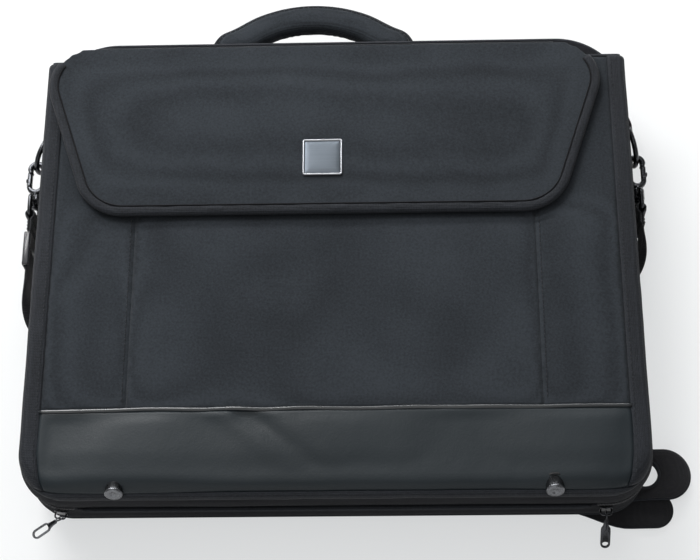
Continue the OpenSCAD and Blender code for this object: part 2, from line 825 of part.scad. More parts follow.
module strap_middle() color(trim) {
    strip(fold, [pad_in - 22, -138], 0);
    strip([pad_in - 34, low_y + 5], [pad_in - gap, low_y + 5], 0);
    strip(fold, right_end, 1);
    strip(fold + [-6, 6], fold + [4, -4], 0.5);
    strip(left_end, cross_over, 0);
    strip(cross_over, [pad_in - 12, -128], 1);
    strip(cross_over - [5, -1], cross_over + [3, -1], 0.5);
    strip([pad_in - 22, pad_y + 2.5], [pad_in - gap, pad_y + 2.5], 1);
}

pad_x = half_w + 16;
pad_y = foot_y + 28.5;
pad_r = pad_w / 2;
low_x = half_w + 8;
low_y = foot_y + 6;
low_r = 12;

// A padded strip along X with a round end: flat below, crowned above. Its base and its
// thickness go from the first of each pair, under the body, to the second, outside.
module padded(x_end, y, r, base, thick) {
    loft([for (k = [0 : 15])
        let (cap = k > 7,
             t = cap ? 90 * (k - 7) / 8.4 : 0,
             x = cap ? x_end + r * sin(t) : pad_in + (x_end - pad_in) * k / 7,
             h = cap ? r * cos(t) : r,
             rise = smooth((x - half_w + 14) / 22),
             z = base[0] + (base[1] - base[0]) * rise,
             full = thick[0] + (thick[1] - thick[0]) * rise,
             top = cap ? 0.35 + 0.65 * sqrt(max(0, 1 - pow((x - x_end) / r, 2))) : 1)
        [for (a = [0 : 20 : 340])
            let (c = cos(a), s = sin(a))
            [x, y + h * c * pow(abs(c) + 0.001, -0.4),
             z + full * top / 2 * (1 + s * pow(abs(s) + 0.001, -0.3))]]
    ]);
}

layer = 2;

module pad_lower() color(fabric) padded(low_x, low_y, low_r, [0, 0], [layer, pad_t * 0.6]);

module pad_upper() color(fabric) difference() {
    padded(pad_x, pad_y, pad_r, [layer + 2 * gap, pad_t * 0.6 + 2 * gap], [layer + 0.4, pad_t]);
    translate([half_w + 2, pad_y, 0]) cylinder(r = 9.5, h = 2 * pad_t);
}

// The tri-glide slide on the left side, on the upright stretch of the webbing.
slide_t = 1.4;
slide_bar = 3.2;
rail_w = 3;
slide_out = web_t / 2 + clear;

module strap_slide() color(smooth) mirror([1, 0, 0]) translate([left_x, left_y - 2, ring_z]) {
    for (z = [-web_w / 2 - clear - rail_w, web_w / 2 + clear])
        translate([-slide_out - slide_t, -slide_len, z]) cube([2 * (slide_out + slide_t), slide_len, rail_w]);
    for (y = [-slide_len, -slide_bar])
        translate([slide_out, y, -web_w / 2 - rail_w]) cube([slide_t, slide_bar, web_w + 2 * rail_w]);
    translate([-slide_out - slide_t, -(slide_len + slide_bar) / 2, -web_w / 2 - rail_w])
        cube([slide_t, slide_bar, web_w + 2 * rail_w]);
}

// ---- zip sliders and pulls ----------------------------------------------------

track_r = foot_radius + teeth_out + clear;
plate_t = 1.4;
plate_h = 8;
slider_z = mouth_z - clear - plate_h;
arch_w = 1.1;
arch_out = 3;
slider_turn = 2 * asin(slider_w / 2 / track_r);
sink = 0.6;
bar_t = 1;
link_r = 2.6;
link_wire = 0.5;
turn_slider_left = 10;
turn_pull_left = 50;
droop_left = 16;
droop_right = 45;

// Places its children on the zip round the right foot corner, turned by the angle.
module on_corner(turn) {
    translate([half_w - foot_radius, foot_y + foot_radius, slider_z]) rotate([0, 0, turn])
        translate([0, -track_r, 0]) children();
}

// A slider against the teeth, with the bridge that holds the pull's link.
module slider() color(metal) {
    translate([0, track_r, 0]) rotate([0, 0, -90 - slider_turn / 2]) rotate_extrude(angle = slider_turn)
        translate([track_r, 0]) square([plate_t, plate_h]);
    for (x = [-slider_w / 2, slider_w / 2 - arch_w])
        translate([x, -plate_t - arch_out - bar_t, plate_h / 2 - bar_t])
            cube([arch_w, arch_out + bar_t + sink, 2 * bar_t]);
    translate([-slider_w / 2, -plate_t - arch_out - bar_t / 2, plate_h / 2]) rotate([0, 90, 0])
        cylinder(r = bar_t / 2, h = slider_w);
}

// A pull on its link round the bridge's bar, turned sideways and hanging by the droop.
module pull(turn, droop, length, hole) {
    translate([0, -plate_t - arch_out - bar_t / 2, plate_h / 2]) rotate([0, 0, turn]) {
        rotate([0, 90, 0]) rotate_extrude() translate([link_r, 0]) circle(r = link_wire, $fn = 24);
        rotate([droop, 0, 0]) translate([0, -link_r, 0]) difference() {
            translate([0, 0, -pull_t / 2]) linear_extrude(pull_t) {
                translate([0, pull_w / 2 - length]) circle(d = pull_w);
                translate([-pull_w / 2, pull_w / 2 - length]) square([pull_w, length - pull_w]);
                translate([-1.3, -pull_w]) square([2.6, pull_w]);
            }
            translate([0, pull_w / 2 - length, -pull_t]) linear_extrude(2 * pull_t) {
                circle(r = pull_w / 2 - 1.2);
                translate([1.2 - pull_w / 2, 0]) square([pull_w - 2.4, hole]);
            }
        }
    }
}

module slider_left() mirror([1, 0, 0]) on_corner(turn_slider_left) slider();
module slider_right() on_corner(0) slider();
module pull_left() color(metal) mirror([1, 0, 0]) on_corner(turn_slider_left)
    pull(turn_pull_left, droop_left, pull_len - 3, 8);
module pull_right() color(metal) on_corner(0) pull(0, droop_right, pull_len, 0.5);
module ring_tab_left() mirror([1, 0, 0]) ring_tab();
module ring_tab_right() ring_tab();
module ring_left() mirror([1, 0, 0]) d_ring(ring_lean_left);
module ring_right() d_ring(ring_lean_right);
module hook_left() mirror([1, 0, 0]) hook(ring_lean_left);
module hook_right() hook(ring_lean_right);
module gate_left() mirror([1, 0, 0]) gate(ring_lean_left);
module gate_right() gate(ring_lean_right);
module swivel_left() mirror([1, 0, 0]) swivel(ring_lean_left);
module swivel_right() swivel(ring_lean_right);

// ---- the part -----------------------------------------------------------------

rear_shell();
rear_board();
rear_lining();
rear_tape();
rear_teeth();
hinge_piping();
hinge_strip();
laptop_strap();
laptop_strap_tab();
handle_anchors();
ring_tab_left();
ring_tab_right();
hook_left();
hook_right();
strap_left();
strap_right();
strap_middle();
web_loop_left();
web_loop_right();
pad_upper();
pad_lower();
lid_shell();
lid_board();
lid_lining();
lid_tape();
lid_teeth();
organiser_pocket();
pen_loops();
pocket_shell();
middle_panel();
side_panels();
edge_strips();
foot_band();
band_welt();
foot_binding();
front_feet();
foot_rivets();
flap_strip();
flap_loops();
flap_panel();
flap_lining();
flap_binding();
flap_hooks();
badge_rim();
badge_plate();
handle_grip();
handle_piping();
handle_legs();
ring_left();
ring_right();
gate_left();
gate_right();
swivel_left();
swivel_right();
strap_slide();
slider_left();
slider_right();
pull_left();
pull_right();
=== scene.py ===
# Soft laptop case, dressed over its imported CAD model. Sizes in the dictionaries are in mm.
import json
import math
import bpy
from mathutils import Matrix, Vector, noise

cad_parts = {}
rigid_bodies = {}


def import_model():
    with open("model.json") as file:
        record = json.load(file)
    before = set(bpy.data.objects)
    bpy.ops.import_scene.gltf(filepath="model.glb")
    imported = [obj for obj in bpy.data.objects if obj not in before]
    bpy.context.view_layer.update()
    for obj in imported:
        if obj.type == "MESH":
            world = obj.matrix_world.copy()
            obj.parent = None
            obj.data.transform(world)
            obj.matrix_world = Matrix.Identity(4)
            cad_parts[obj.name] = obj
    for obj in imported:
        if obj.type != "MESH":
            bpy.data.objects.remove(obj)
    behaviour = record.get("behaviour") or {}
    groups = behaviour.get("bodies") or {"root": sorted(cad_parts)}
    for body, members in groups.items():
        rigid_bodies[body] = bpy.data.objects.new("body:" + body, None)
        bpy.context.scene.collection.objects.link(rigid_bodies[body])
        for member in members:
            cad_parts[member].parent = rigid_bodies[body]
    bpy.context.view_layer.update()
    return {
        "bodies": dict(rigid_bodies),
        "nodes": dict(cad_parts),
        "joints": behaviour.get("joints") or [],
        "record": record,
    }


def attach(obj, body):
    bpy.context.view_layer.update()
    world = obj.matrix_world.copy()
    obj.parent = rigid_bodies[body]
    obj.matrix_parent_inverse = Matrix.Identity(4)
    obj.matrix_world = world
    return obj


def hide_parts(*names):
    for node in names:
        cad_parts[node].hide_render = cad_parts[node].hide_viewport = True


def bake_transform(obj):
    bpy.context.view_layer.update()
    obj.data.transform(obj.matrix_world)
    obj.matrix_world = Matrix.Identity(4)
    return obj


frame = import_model()
scene = bpy.context.scene

# shared body sizes, the same as the CAD's

case = {
    "halfWidth": 203, "foot": -161, "top": 172, "topRadius": 48, "footRadius": 28,
    "back": 7.0, "crown": 3.4, "backRound": 12, "rearRim": 37.5, "mouth": 40, "lidFront": 64,
}


def smoothStep(t):
    t = max(0.0, min(1.0, t))
    return t * t * (3 - 2 * t)


def lumps(x, y, z, size, amount, seed=0.0):
    # soft unevenness of cloth over foam: size in mm from lump to lump
    return amount * noise.noise(Vector((x / size + seed, y / size - seed, z / size + seed * 0.7)))


def addMesh(name, points, faces, material, body, uvs=None):
    mesh = bpy.data.meshes.new(name)
    mesh.from_pydata([(p[0] / 1000, p[1] / 1000, p[2] / 1000) for p in points], [], faces)
    if uvs:
        layer = mesh.uv_layers.new(name="along")
        for loop in mesh.loops:
            layer.data[loop.index].uv = uvs[loop.vertex_index]
    for poly in mesh.polygons:
        poly.use_smooth = True
    mesh.materials.append(material)
    mesh.update()
    piece = bpy.data.objects.new(name, mesh)
    scene.collection.objects.link(piece)
    if body:
        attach(piece, body)
    return piece


def gridFaces(rows, columns, closed=False, flip=False, start=0):
    faces = []
    for j in range(rows - 1):
        for i in range(columns if closed else columns - 1):
            k = (i + 1) % columns
            quad = [start + j * columns + i, start + j * columns + k,
                    start + (j + 1) * columns + k, start + (j + 1) * columns + i]
            faces.append(quad[::-1] if flip else quad)
    return faces


def endCaps(count, total):
    # the two faces that close the first and the last ring of a run
    return [list(range(count))[::-1], list(range(total - count, total))]


def ringStack(name, rings, material, body, uvs=None):
    # a closed skin over rings of equal length
    points = [p for ring in rings for p in ring]
    n = len(rings[0])
    faces = gridFaces(len(rings), n, closed=True) + endCaps(n, len(points))
    return addMesh(name, points, faces, material, body, uvs)


def arcOutline(arcs, inset=0.0, cornerSteps=14, runs=(60, 50, 60, 50)):
    # arcs: centre x, centre y, radius, first and last angle. Gives x, y and the outward normal.
    corners = []
    for cx, cy, radius, first, last in arcs:
        r = max(radius - inset, 0.3)
        rest = inset - radius + r
        mid = math.radians((first + last) / 2)
        back = rest / math.cos(math.radians(last - first) / 2)
        corner = []
        for i in range(cornerSteps + 1):
            a = math.radians(first + (last - first) * i / cornerSteps)
            corner.append((cx + r * math.cos(a) - back * math.cos(mid),
                           cy + r * math.sin(a) - back * math.sin(mid), math.cos(a), math.sin(a)))
        corners.append(corner)
    points = []
    for n, corner in enumerate(corners):
        points += corner
        a, b = corner[-1], corners[(n + 1) % len(corners)][0]
        for i in range(1, runs[n % len(runs)]):
            t = i / runs[n % len(runs)]
            points.append((a[0] + (b[0] - a[0]) * t, a[1] + (b[1] - a[1]) * t, a[2], a[3]))
    return points


def boxArcs(half, low, high, topRadius, lowRadius):
    return [(half - topRadius, high - topRadius, topRadius, 0, 90),
            (topRadius - half, high - topRadius, topRadius, 90, 180),
            (lowRadius - half, low + lowRadius, lowRadius, 180, 270),
            (half - lowRadius, low + lowRadius, lowRadius, 270, 360)]


bodyArcs = boxArcs(case["halfWidth"], case["foot"], case["top"],
                   case["topRadius"], case["footRadius"])


def outlineLoft(name, profile, material, body, push, capFirst=False, capLast=False):
    # profile: a list of (inset, z) from the first ring to the last, round the body's outline
    points, count = [], 0
    for inset, z in profile:
        ring = arcOutline(bodyArcs, inset)
        count = len(ring)
        for x, y, nx, ny in ring:
            points.append(push(x, y, z, nx, ny, inset))
    faces = gridFaces(len(profile), count, closed=True)
    first, last = endCaps(count, len(points))
    if capFirst:
        faces.append(first)
    if capLast:
        faces.append(last)
    return addMesh(name, points, faces, material, body)


def ribbonMesh(name, spine, width, thick, material, body, edge=0.35, columns=9):
    # spine: list of (centre, direction across the width, facing), all Vectors in mm
    section = []
    for i in range(columns):
        t = i / (columns - 1) * 2 - 1
        section.append((t * (width / 2 - edge * 0.2), thick / 2 - edge * abs(t) ** 8))
    section += [(-t, -h) for t, h in section]
    rings, uvs, travelled = [], [], 0.0
    for k, (centre, across, facing) in enumerate(spine):
        if k:
            travelled += (centre - spine[k - 1][0]).length
        rings.append([centre + across * t + facing * h for t, h in section])
        uvs += [(t / 1000, travelled / 1000) for t, h in section]
    return ringStack(name, rings, material, body, uvs)


def tubeMesh(name, path, radius, material, body, sides=12, closed=False, ups=None):
    # radius: one number, or a list with one for each point of the path
    points = []
    n = len(path)
    for k, p in enumerate(path):
        a = path[(k - 1) % n] if closed or k else path[0]
        b = path[(k + 1) % n] if closed or k < n - 1 else path[-1]
        along = (b - a).normalized()
        up = ups[k] if ups else (Vector((0, 0, 1)) if abs(along.z) < 0.9 else Vector((1, 0, 0)))
        side = along.cross(up).normalized()
        up = side.cross(along).normalized()
        r = radius[k] if isinstance(radius, (list, tuple)) else radius
        for i in range(sides):
            turn = 2 * math.pi * i / sides
            points.append(p + side * (r * math.cos(turn)) + up * (r * math.sin(turn)))
    faces = gridFaces(n + (1 if closed else 0), sides, closed=True)
    if closed:
        faces = [[i % len(points) for i in f] for f in faces]
    else:
        faces += endCaps(sides, len(points))
    return addMesh(name, points, faces, material, body)


def runningLength(path):
    total = [0.0]
    for a, b in zip(path, path[1:]):
        total.append(total[-1] + (b - a).length)
    return total


def evenPlaces(total, first, step, stop):
    # where even steps fall on a path: the number of the stretch, and the share along it
    spot, j = first, 0
    while spot < stop:
        while total[j + 1] < spot:
            j += 1
        yield j, (spot - total[j]) / max(total[j + 1] - total[j], 1e-6)
        spot += step


# a thread's rise from hole to hole: share of its length, and height in thread widths
threadRise = ((-0.5, -0.9), (-0.3, 0.25), (0, 0.6), (0.3, 0.25), (0.5, -0.9))
threadSides = 6


def stitchRow(name, path, normals, material, body, length=2.6, pitch=3.6, thick=0.32):
    # one short raised thread after another along a path, sunk at both ends
    points, faces = [], []
    total = runningLength(path)
    for j, t in evenPlaces(total, pitch / 2, pitch, total[-1] - pitch / 2):
        centre = path[j].lerp(path[j + 1], t)
        along = (path[j + 1] - path[j]).normalized()
        up = normals[j].lerp(normals[j + 1], t).normalized()
        side = along.cross(up).normalized()
        first = len(points)
        for s, lift in threadRise:
            for i in range(threadSides):
                turn = 2 * math.pi * i / threadSides
                points.append(centre + along * (s * length) + side * (thick * 1.2 * math.cos(turn))
                              + up * (thick * (lift + math.sin(turn))))
        faces += gridFaces(len(threadRise), threadSides, closed=True, start=first)
    return addMesh(name, points, faces, material, body)


# materials

waveScale = 314.16   # the wave texture's scale for bands 1 mm apart


def newMaterial(name, color, rough, metal=0.0, sheen=0.0, coat=0.0, specular=0.5):
    mat = bpy.data.materials.new(name)
    mat.use_nodes = True
    shader = mat.node_tree.nodes["Principled BSDF"]
    shader.inputs["Base Color"].default_value = (*color, 1)
    shader.inputs["Roughness"].default_value = rough
    shader.inputs["Metallic"].default_value = metal
    shader.inputs["Specular IOR Level"].default_value = specular
    shader.inputs["Sheen Weight"].default_value = sheen
    shader.inputs["Sheen Roughness"].default_value = 0.45
    shader.inputs["Coat Weight"].default_value = coat
    return mat, shader


def addNode(mat, kind, **values):
    node = mat.node_tree.nodes.new(kind)
    for key, value in values.items():
        if key.startswith("in_"):
            node.inputs[key[3:].replace("_", " ")].default_value = value
        else:
            setattr(node, key, value)
    return node


def wire(mat, fromSocket, toSocket):
    mat.node_tree.links.new(fromSocket, toSocket)


def place(mat, scale=(1, 1, 1), source="Object"):
    where = addNode(mat, "ShaderNodeTexCoord")
    mapping = addNode(mat, "ShaderNodeMapping")
    mapping.inputs["Scale"].default_value = scale
    wire(mat, where.outputs[source], mapping.inputs["Vector"])
    return mapping.outputs["Vector"]


def mixColor(mat, factor, a, b):
    mix = addNode(mat, "ShaderNodeMix", data_type="RGBA")
    wire(mat, factor, mix.inputs[0])
    mix.inputs[6].default_value = (*a, 1)   # sockets 6 and 7 are the colours
    mix.inputs[7].default_value = (*b, 1)
    return mix.outputs[2]


def ramp(mat, value, low, high, lowOut, highOut):
    node = addNode(mat, "ShaderNodeMapRange", in_From_Min=low, in_From_Max=high,
                   in_To_Min=lowOut, in_To_Max=highOut)
    wire(mat, value, node.inputs["Value"])
    return node.outputs["Result"]


def math2(mat, operation, a, b):
    node = addNode(mat, "ShaderNodeMath", operation=operation)
    for slotNumber, value in enumerate((a, b)):
        if isinstance(value, (int, float)):
            node.inputs[slotNumber].default_value = value
        else:
            wire(mat, value, node.inputs[slotNumber])
    return node.outputs[0]


def weighed(mat, a, shareOfA, b, shareOfB):
    return math2(mat, "ADD", math2(mat, "MULTIPLY", a, shareOfA), math2(mat, "MULTIPLY", b, shareOfB))


def noiseField(mat, scale, detail, roughness=0.5, stretch=(1, 1, 1)):
    field = addNode(mat, "ShaderNodeTexNoise", in_Scale=scale, in_Detail=detail, in_Roughness=roughness)
    wire(mat, place(mat, stretch), field.inputs["Vector"])
    return field.outputs["Fac"]


def shade(color, amount):
    return tuple(c * amount for c in color)


def bump(mat, shader, height, distance, strength=1.0, below=None):
    node = addNode(mat, "ShaderNodeBump", in_Strength=strength, in_Distance=distance)
    wire(mat, height, node.inputs["Height"])
    if below:
        wire(mat, below.outputs["Normal"], node.inputs["Normal"])
    wire(mat, node.outputs["Normal"], shader.inputs["Normal"])
    return node


clothLook = {"specular": 0.14, "weave": 0.25, "wear": 0.4, "speck": 0.62, "fuzz": 0.8,
             "darkAt": 0.4, "lightAt": 0.86, "lightPatch": 1.3, "weaveBump": 0.7,
             "waveDepth": 0.0012, "waveBump": 0.35}


def clothMaterial(name, color, thread=0.75, rough=0.9, sheen=0.05, patch=0.38, depth=0.00025):
    # plain weave: two crossed sets of threads on all three faces, with slow patches of wear
    mat, shader = newMaterial(name, color, rough, sheen=sheen, specular=clothLook["specular"])
    waves = []
    for axis in ("X", "Y", "Z"):
        wave = addNode(mat, "ShaderNodeTexWave", wave_type="BANDS", bands_direction=axis,
                       in_Scale=waveScale / thread, in_Distortion=0.6, in_Detail=1.0)
        wire(mat, place(mat), wave.inputs["Vector"])
        waves.append(wave.outputs["Fac"])
    crossed = math2(mat, "MULTIPLY", waves[0], waves[1])
    weave = math2(mat, "ADD", crossed, math2(mat, "MULTIPLY", waves[2], 0.6))
    fuzz = noiseField(mat, 2600.0, 3.0)
    slow = noiseField(mat, 14.0, 4.0, 0.6)
    speck = noiseField(mat, 650.0, 2.0, 0.7)
    tone = weighed(mat, weave, clothLook["weave"], slow, clothLook["wear"])
    tone = math2(mat, "ADD", tone, math2(mat, "MULTIPLY", speck, clothLook["speck"]))
    wornOrNot = ramp(mat, tone, clothLook["darkAt"], clothLook["lightAt"], 0, 1)
    dark, light = shade(color, 1 - patch), shade(color, 1 + patch * clothLook["lightPatch"])
    wire(mat, mixColor(mat, wornOrNot, dark, light), shader.inputs["Base Color"])
    surface = math2(mat, "ADD", weave, math2(mat, "MULTIPLY", fuzz, clothLook["fuzz"]))
    first = bump(mat, shader, surface, depth, clothLook["weaveBump"])
    bump(mat, shader, slow, clothLook["waveDepth"], clothLook["waveBump"], first)
    return mat


webLook = {"rib": 1.6, "cord": 1.1, "rough": 0.7, "dark": 0.7, "light": 1.4, "depth": 0.0003}


def webMaterial(name, color):
    # ribbed webbing: its ribs run across, laid out along the strap's own length
    mat, shader = newMaterial(name, color, webLook["rough"], sheen=0.2, specular=0.3)
    ribs = addNode(mat, "ShaderNodeTexWave", wave_type="BANDS", bands_direction="Y",
                   in_Scale=waveScale / webLook["rib"], in_Distortion=0.3)
    wire(mat, place(mat, source="UV"), ribs.inputs["Vector"])
    cords = addNode(mat, "ShaderNodeTexWave", wave_type="BANDS", bands_direction="X",
                    in_Scale=waveScale / webLook["cord"])
    wire(mat, place(mat, source="UV"), cords.inputs["Vector"])
    slow = noiseField(mat, 40.0, 3.0)
    height = math2(mat, "ADD", ribs.outputs["Fac"], math2(mat, "MULTIPLY", cords.outputs["Fac"], 0.6))
    tone = ramp(mat, weighed(mat, height, 0.4, slow, 0.5), 0.2, 0.9, 0, 1)
    dark, light = shade(color, webLook["dark"]), shade(color, webLook["light"])
    wire(mat, mixColor(mat, tone, dark, light), shader.inputs["Base Color"])
    bump(mat, shader, height, webLook["depth"], 0.8)
    return mat


coatedLook = {"specular": 0.22, "grain": 900.0, "grainDepth": 0.00012, "creaseDepth": 0.0016,
              "dark": 0.75, "light": 1.35, "smoother": 0.06, "rougher": 0.1}


def coatedMaterial(name, color, rough, coat=0.06, gloss=0.2):
    # smooth coated cloth: fine pebbled grain, faint creases, a soft uneven gloss
    mat, shader = newMaterial(name, color, rough, coat=coat, specular=coatedLook["specular"])
    shader.inputs["Coat Roughness"].default_value = gloss
    grain = addNode(mat, "ShaderNodeTexVoronoi", feature="SMOOTH_F1", in_Scale=coatedLook["grain"])
    wire(mat, place(mat), grain.inputs["Vector"])
    crease = noiseField(mat, 26.0, 5.0, 0.55, (0.8, 0.7, 1))
    slow = noiseField(mat, 9.0, 3.0)
    dark, light = shade(color, coatedLook["dark"]), shade(color, coatedLook["light"])
    wire(mat, mixColor(mat, slow, dark, light), shader.inputs["Base Color"])
    uneven = ramp(mat, slow, 0.3, 0.7, rough - coatedLook["smoother"], rough + coatedLook["rougher"])
    wire(mat, uneven, shader.inputs["Roughness"])
    first = bump(mat, shader, grain.outputs["Distance"], coatedLook["grainDepth"], 0.5)
    bump(mat, shader, crease, coatedLook["creaseDepth"], 0.6, first)
    return mat


metalLook = {"fine": 900.0, "slow": 60.0, "stretch": 0.02, "dark": 0.75, "light": 1.25,
             "smoother": 0.07, "rougher": 0.12, "depth": 0.00004}


def metalMaterial(name, color, rough, brushed=False):
    # brushed: the fine marks run along X
    mat, shader = newMaterial(name, color, rough, metal=1.0)
    stretch = (metalLook["stretch"], 1, 1) if brushed else (1, 1, 1)
    fine = noiseField(mat, metalLook["fine"], 4.0, stretch=stretch)
    slow = noiseField(mat, metalLook["slow"], 3.0)
    both = weighed(mat, fine, 0.6, slow, 0.4)
    smooth = max(rough - metalLook["smoother"], 0.05)
    uneven = ramp(mat, both, 0.3, 0.7, smooth, rough + metalLook["rougher"])
    wire(mat, uneven, shader.inputs["Roughness"])
    dark, light = shade(color, metalLook["dark"]), shade(color, metalLook["light"])
    wire(mat, mixColor(mat, both, dark, light), shader.inputs["Base Color"])
    bump(mat, shader, fine, metalLook["depth"], 0.5)
    return mat


plasticLook = {"skin": 1500.0, "slow": 50.0, "dark": 0.8, "light": 1.25,
               "smoother": 0.06, "rougher": 0.08, "depth": 0.00005}


def plasticMaterial(name, color, rough):
    mat, shader = newMaterial(name, color, rough)
    skin = noiseField(mat, plasticLook["skin"], 2.0)
    slow = noiseField(mat, plasticLook["slow"], 3.0)
    dark, light = shade(color, plasticLook["dark"]), shade(color, plasticLook["light"])
    wire(mat, mixColor(mat, slow, dark, light), shader.inputs["Base Color"])
    uneven = ramp(mat, slow, 0.3, 0.7, rough - plasticLook["smoother"], rough + plasticLook["rougher"])
    wire(mat, uneven, shader.inputs["Roughness"])
    bump(mat, shader, skin, plasticLook["depth"], 0.4)
    return mat


panelCloth = clothMaterial("panelCloth", (0.0210, 0.0248, 0.0295), thread=0.8)
# dark cloth for the gussets and walls, made darker still as painted shade for the walls that face down
# away from the lamps
gussetShadedCloth = clothMaterial("gussetShadedCloth", (0.009, 0.0098, 0.012), thread=0.9, sheen=0.03)
bindingCloth = clothMaterial("bindingTape", (0.0170, 0.0190, 0.0228), thread=1.1, rough=0.78,
                             depth=0.0003)
liningCloth = clothMaterial("liningCloth", (0.12, 0.125, 0.135), thread=0.5, rough=0.7, patch=0.15)
threadCloth = clothMaterial("sewingThread", (0.017, 0.019, 0.022), thread=0.4, rough=0.65,
                            depth=0.0001)
# near-black thread: painted shade for the furrow along the flap's binding seam
grooveShadowThread = clothMaterial("grooveShadowThread", (0.007, 0.0075, 0.009), thread=0.4, rough=0.95,
                             depth=0.0001)
padCloth = clothMaterial("padCloth", (0.021, 0.0213, 0.0235), thread=0.6, patch=0.2)
strapWeb = webMaterial("strapWebbing", (0.020, 0.021, 0.024))
fastenerTape = clothMaterial("hookAndLoopTape", (0.022, 0.022, 0.025), thread=0.5, rough=0.95,
                             depth=0.0005)
coatedWelt = coatedMaterial("coatedWelt", (0.016, 0.019, 0.021), 0.24, coat=1.0, gloss=0.14)
coatedBand = coatedMaterial("coatedBand", (0.0122, 0.0168, 0.0200), 0.46)
hardwareMetal = metalMaterial("darkPlating", (0.055, 0.057, 0.062), 0.22)
silverMetal = metalMaterial("satinSilver", (0.34, 0.35, 0.37), 0.32)
workedMetal = metalMaterial("wornPlating", (0.15, 0.155, 0.165), 0.26)
badgeMetal = metalMaterial("brushedBadgePlate", (0.082, 0.094, 0.108), 0.36, brushed=True)
toothPlastic = plasticMaterial("zipTeeth", (0.035, 0.036, 0.04), 0.42)
slidePlastic = plasticMaterial("slidePlastic", (0.022, 0.023, 0.027), 0.3)
# near-black collar rubber: its own dark colour, deepened as painted shade for the recess round each foot
# stud
recessShadeRubber = plasticMaterial("recessShadeRubber", (0.006, 0.006, 0.007), 0.75)
boardSheet = plasticMaterial("stiffenerSheet", (0.05, 0.05, 0.053), 0.7)
# the CAD parts that each of these materials is put on
print("materials made")

nodeFinish = {
    hardwareMetal: ["hook_left", "hook_right", "ring_left", "ring_right", "gate_left", "gate_right",
                    "swivel_left", "swivel_right", "slider_left", "slider_right", "pull_right",
                    "front_feet", "foot_rivets"],
    workedMetal: ["pull_left"],
    silverMetal: ["badge_rim"],
    badgeMetal: ["badge_plate"],
    slidePlastic: ["strap_slide"],
    toothPlastic: ["rear_teeth", "lid_teeth"],
    boardSheet: ["rear_board", "lid_board"],
    fastenerTape: ["flap_loops", "flap_hooks", "laptop_strap_tab"],
    bindingCloth: ["hinge_piping", "rear_tape", "lid_tape", "handle_anchors"],
    gussetShadedCloth: ["hinge_strip", "flap_strip"],
    liningCloth: ["organiser_pocket", "flap_lining", "rear_lining", "lid_lining"],
    strapWeb: ["pen_loops", "laptop_strap", "handle_legs", "ring_tab_left", "ring_tab_right"],
}
for finish, names in nodeFinish.items():
    for name in names:
        piece = frame["nodes"][name]
        for spot in piece.material_slots:
            spot.material = finish


# front pocket: one rolled surface that every panel follows

front = {
    "half": 200, "top": 149, "foot": -161, "rim": 64.3, "face": 76, "corner": 28,
    "sideRoll": 4.0, "footRoll": 10.8, "puff": 1.2, "puffFade": 75, "seam": 134, "strip": 10.5,
    "bandTop": -107, "thickness": 2.0, "handHalf": 150, "handCut": 24, "handEase": 6,
    "pillow": 1.1, "pucker": 0.22, "underFlap": 22, "underFade": 26,
}


def underFlap(y, share):
    # the closed flap keeps the cloth below it flat
    return 1 - share * smoothStep((y - front["underFlap"]) / front["underFade"])


def rollProfile(q, roll):
    # q: distance along the cloth from the lower rim. Gives inward reach, height and slope.
    wall = front["face"] - front["rim"] - roll
    if q < wall:
        return 0.0, q
    a = (q - wall) / roll
    if a < math.pi / 2:
        return roll * (1 - math.cos(a)), wall + roll * math.sin(a)
    return roll + q - wall - roll * math.pi / 2, wall + roll


def clothLength(roll):
    return front["face"] - front["rim"] - roll + roll * math.pi / 2


sideReach = front["corner"] - front["sideRoll"] + clothLength(front["sideRoll"])
footReach = front["corner"] - front["footRoll"] + clothLength(front["footRoll"])
sideEnd = front["half"] - front["corner"] + sideReach      # s at the side rim
footEnd = front["foot"] + front["corner"] - footReach      # t at the foot rim
footStart = front["foot"] + front["corner"]


def frontPoint(s, t):
    # s and t are plan places on the flat; past the rolls they run on down the walls
    side = 1 if s > 0 else -1
    u = (abs(s) - (front["half"] - front["corner"])) / sideReach
    v = (footStart - t) / footReach
    x, y, z = s, t, front["face"]
    if u > 0 and v > 0:
        u, v = min(u, 1), min(v, 1)
        dx, dy = u * math.sqrt(1 - v * v / 2), v * math.sqrt(1 - u * u / 2)
        r, angle = math.hypot(dx, dy), math.atan2(dy, dx)
        share = math.sin(angle) ** 2
        roll = front["sideRoll"] + (front["footRoll"] - front["sideRoll"]) * share
        reach = sideReach + (footReach - sideReach) * share
        inward, up = rollProfile((1 - r) * reach, roll)
        radial = front["corner"] - inward
        x = side * (front["half"] - front["corner"] + radial * math.cos(angle))
        y = footStart - radial * math.sin(angle)
        z = front["rim"] + up
    elif u > 0:
        inward, up = rollProfile((1 - u) * sideReach, front["sideRoll"])
        x, z = side * (front["half"] - inward), front["rim"] + up
    elif v > 0:
        inward, up = rollProfile((1 - v) * footReach, front["footRoll"])
        y, z = front["foot"] + inward, front["rim"] + up
    fade = front["puffFade"]
    lift = smoothStep((front["half"] - abs(x)) / fade) * smoothStep((y - front["foot"]) / fade)
    sag = lumps(x, y, 0, 85, 1.0, 3.1) + lumps(x, y, 0, 38, 0.35, 7.7)
    flat = smoothStep((z - front["face"] + 9) / 9)
    return Vector((x, y, z + (front["puff"] * lift + sag * flat * 0.7) * underFlap(y, 0.85)))


def frontNormal(s, t):
    d = 0.6   # half the reach over which the slope is taken
    a = frontPoint(s + d, t) - frontPoint(s - d, t)
    b = frontPoint(s, t + d) - frontPoint(s, t - d)
    n = a.cross(b)
    return n.normalized() if n.length > 1e-9 else Vector((0, 0, 1))


def mouthEdge(s):
    # the pocket's upper edge, cut away for a hand in the middle
    edge, cut = front["top"], front["handCut"]
    t = (front["handHalf"] - front["handEase"] - abs(s)) / (cut * 0.8)
    return edge - cut * smoothStep(t)


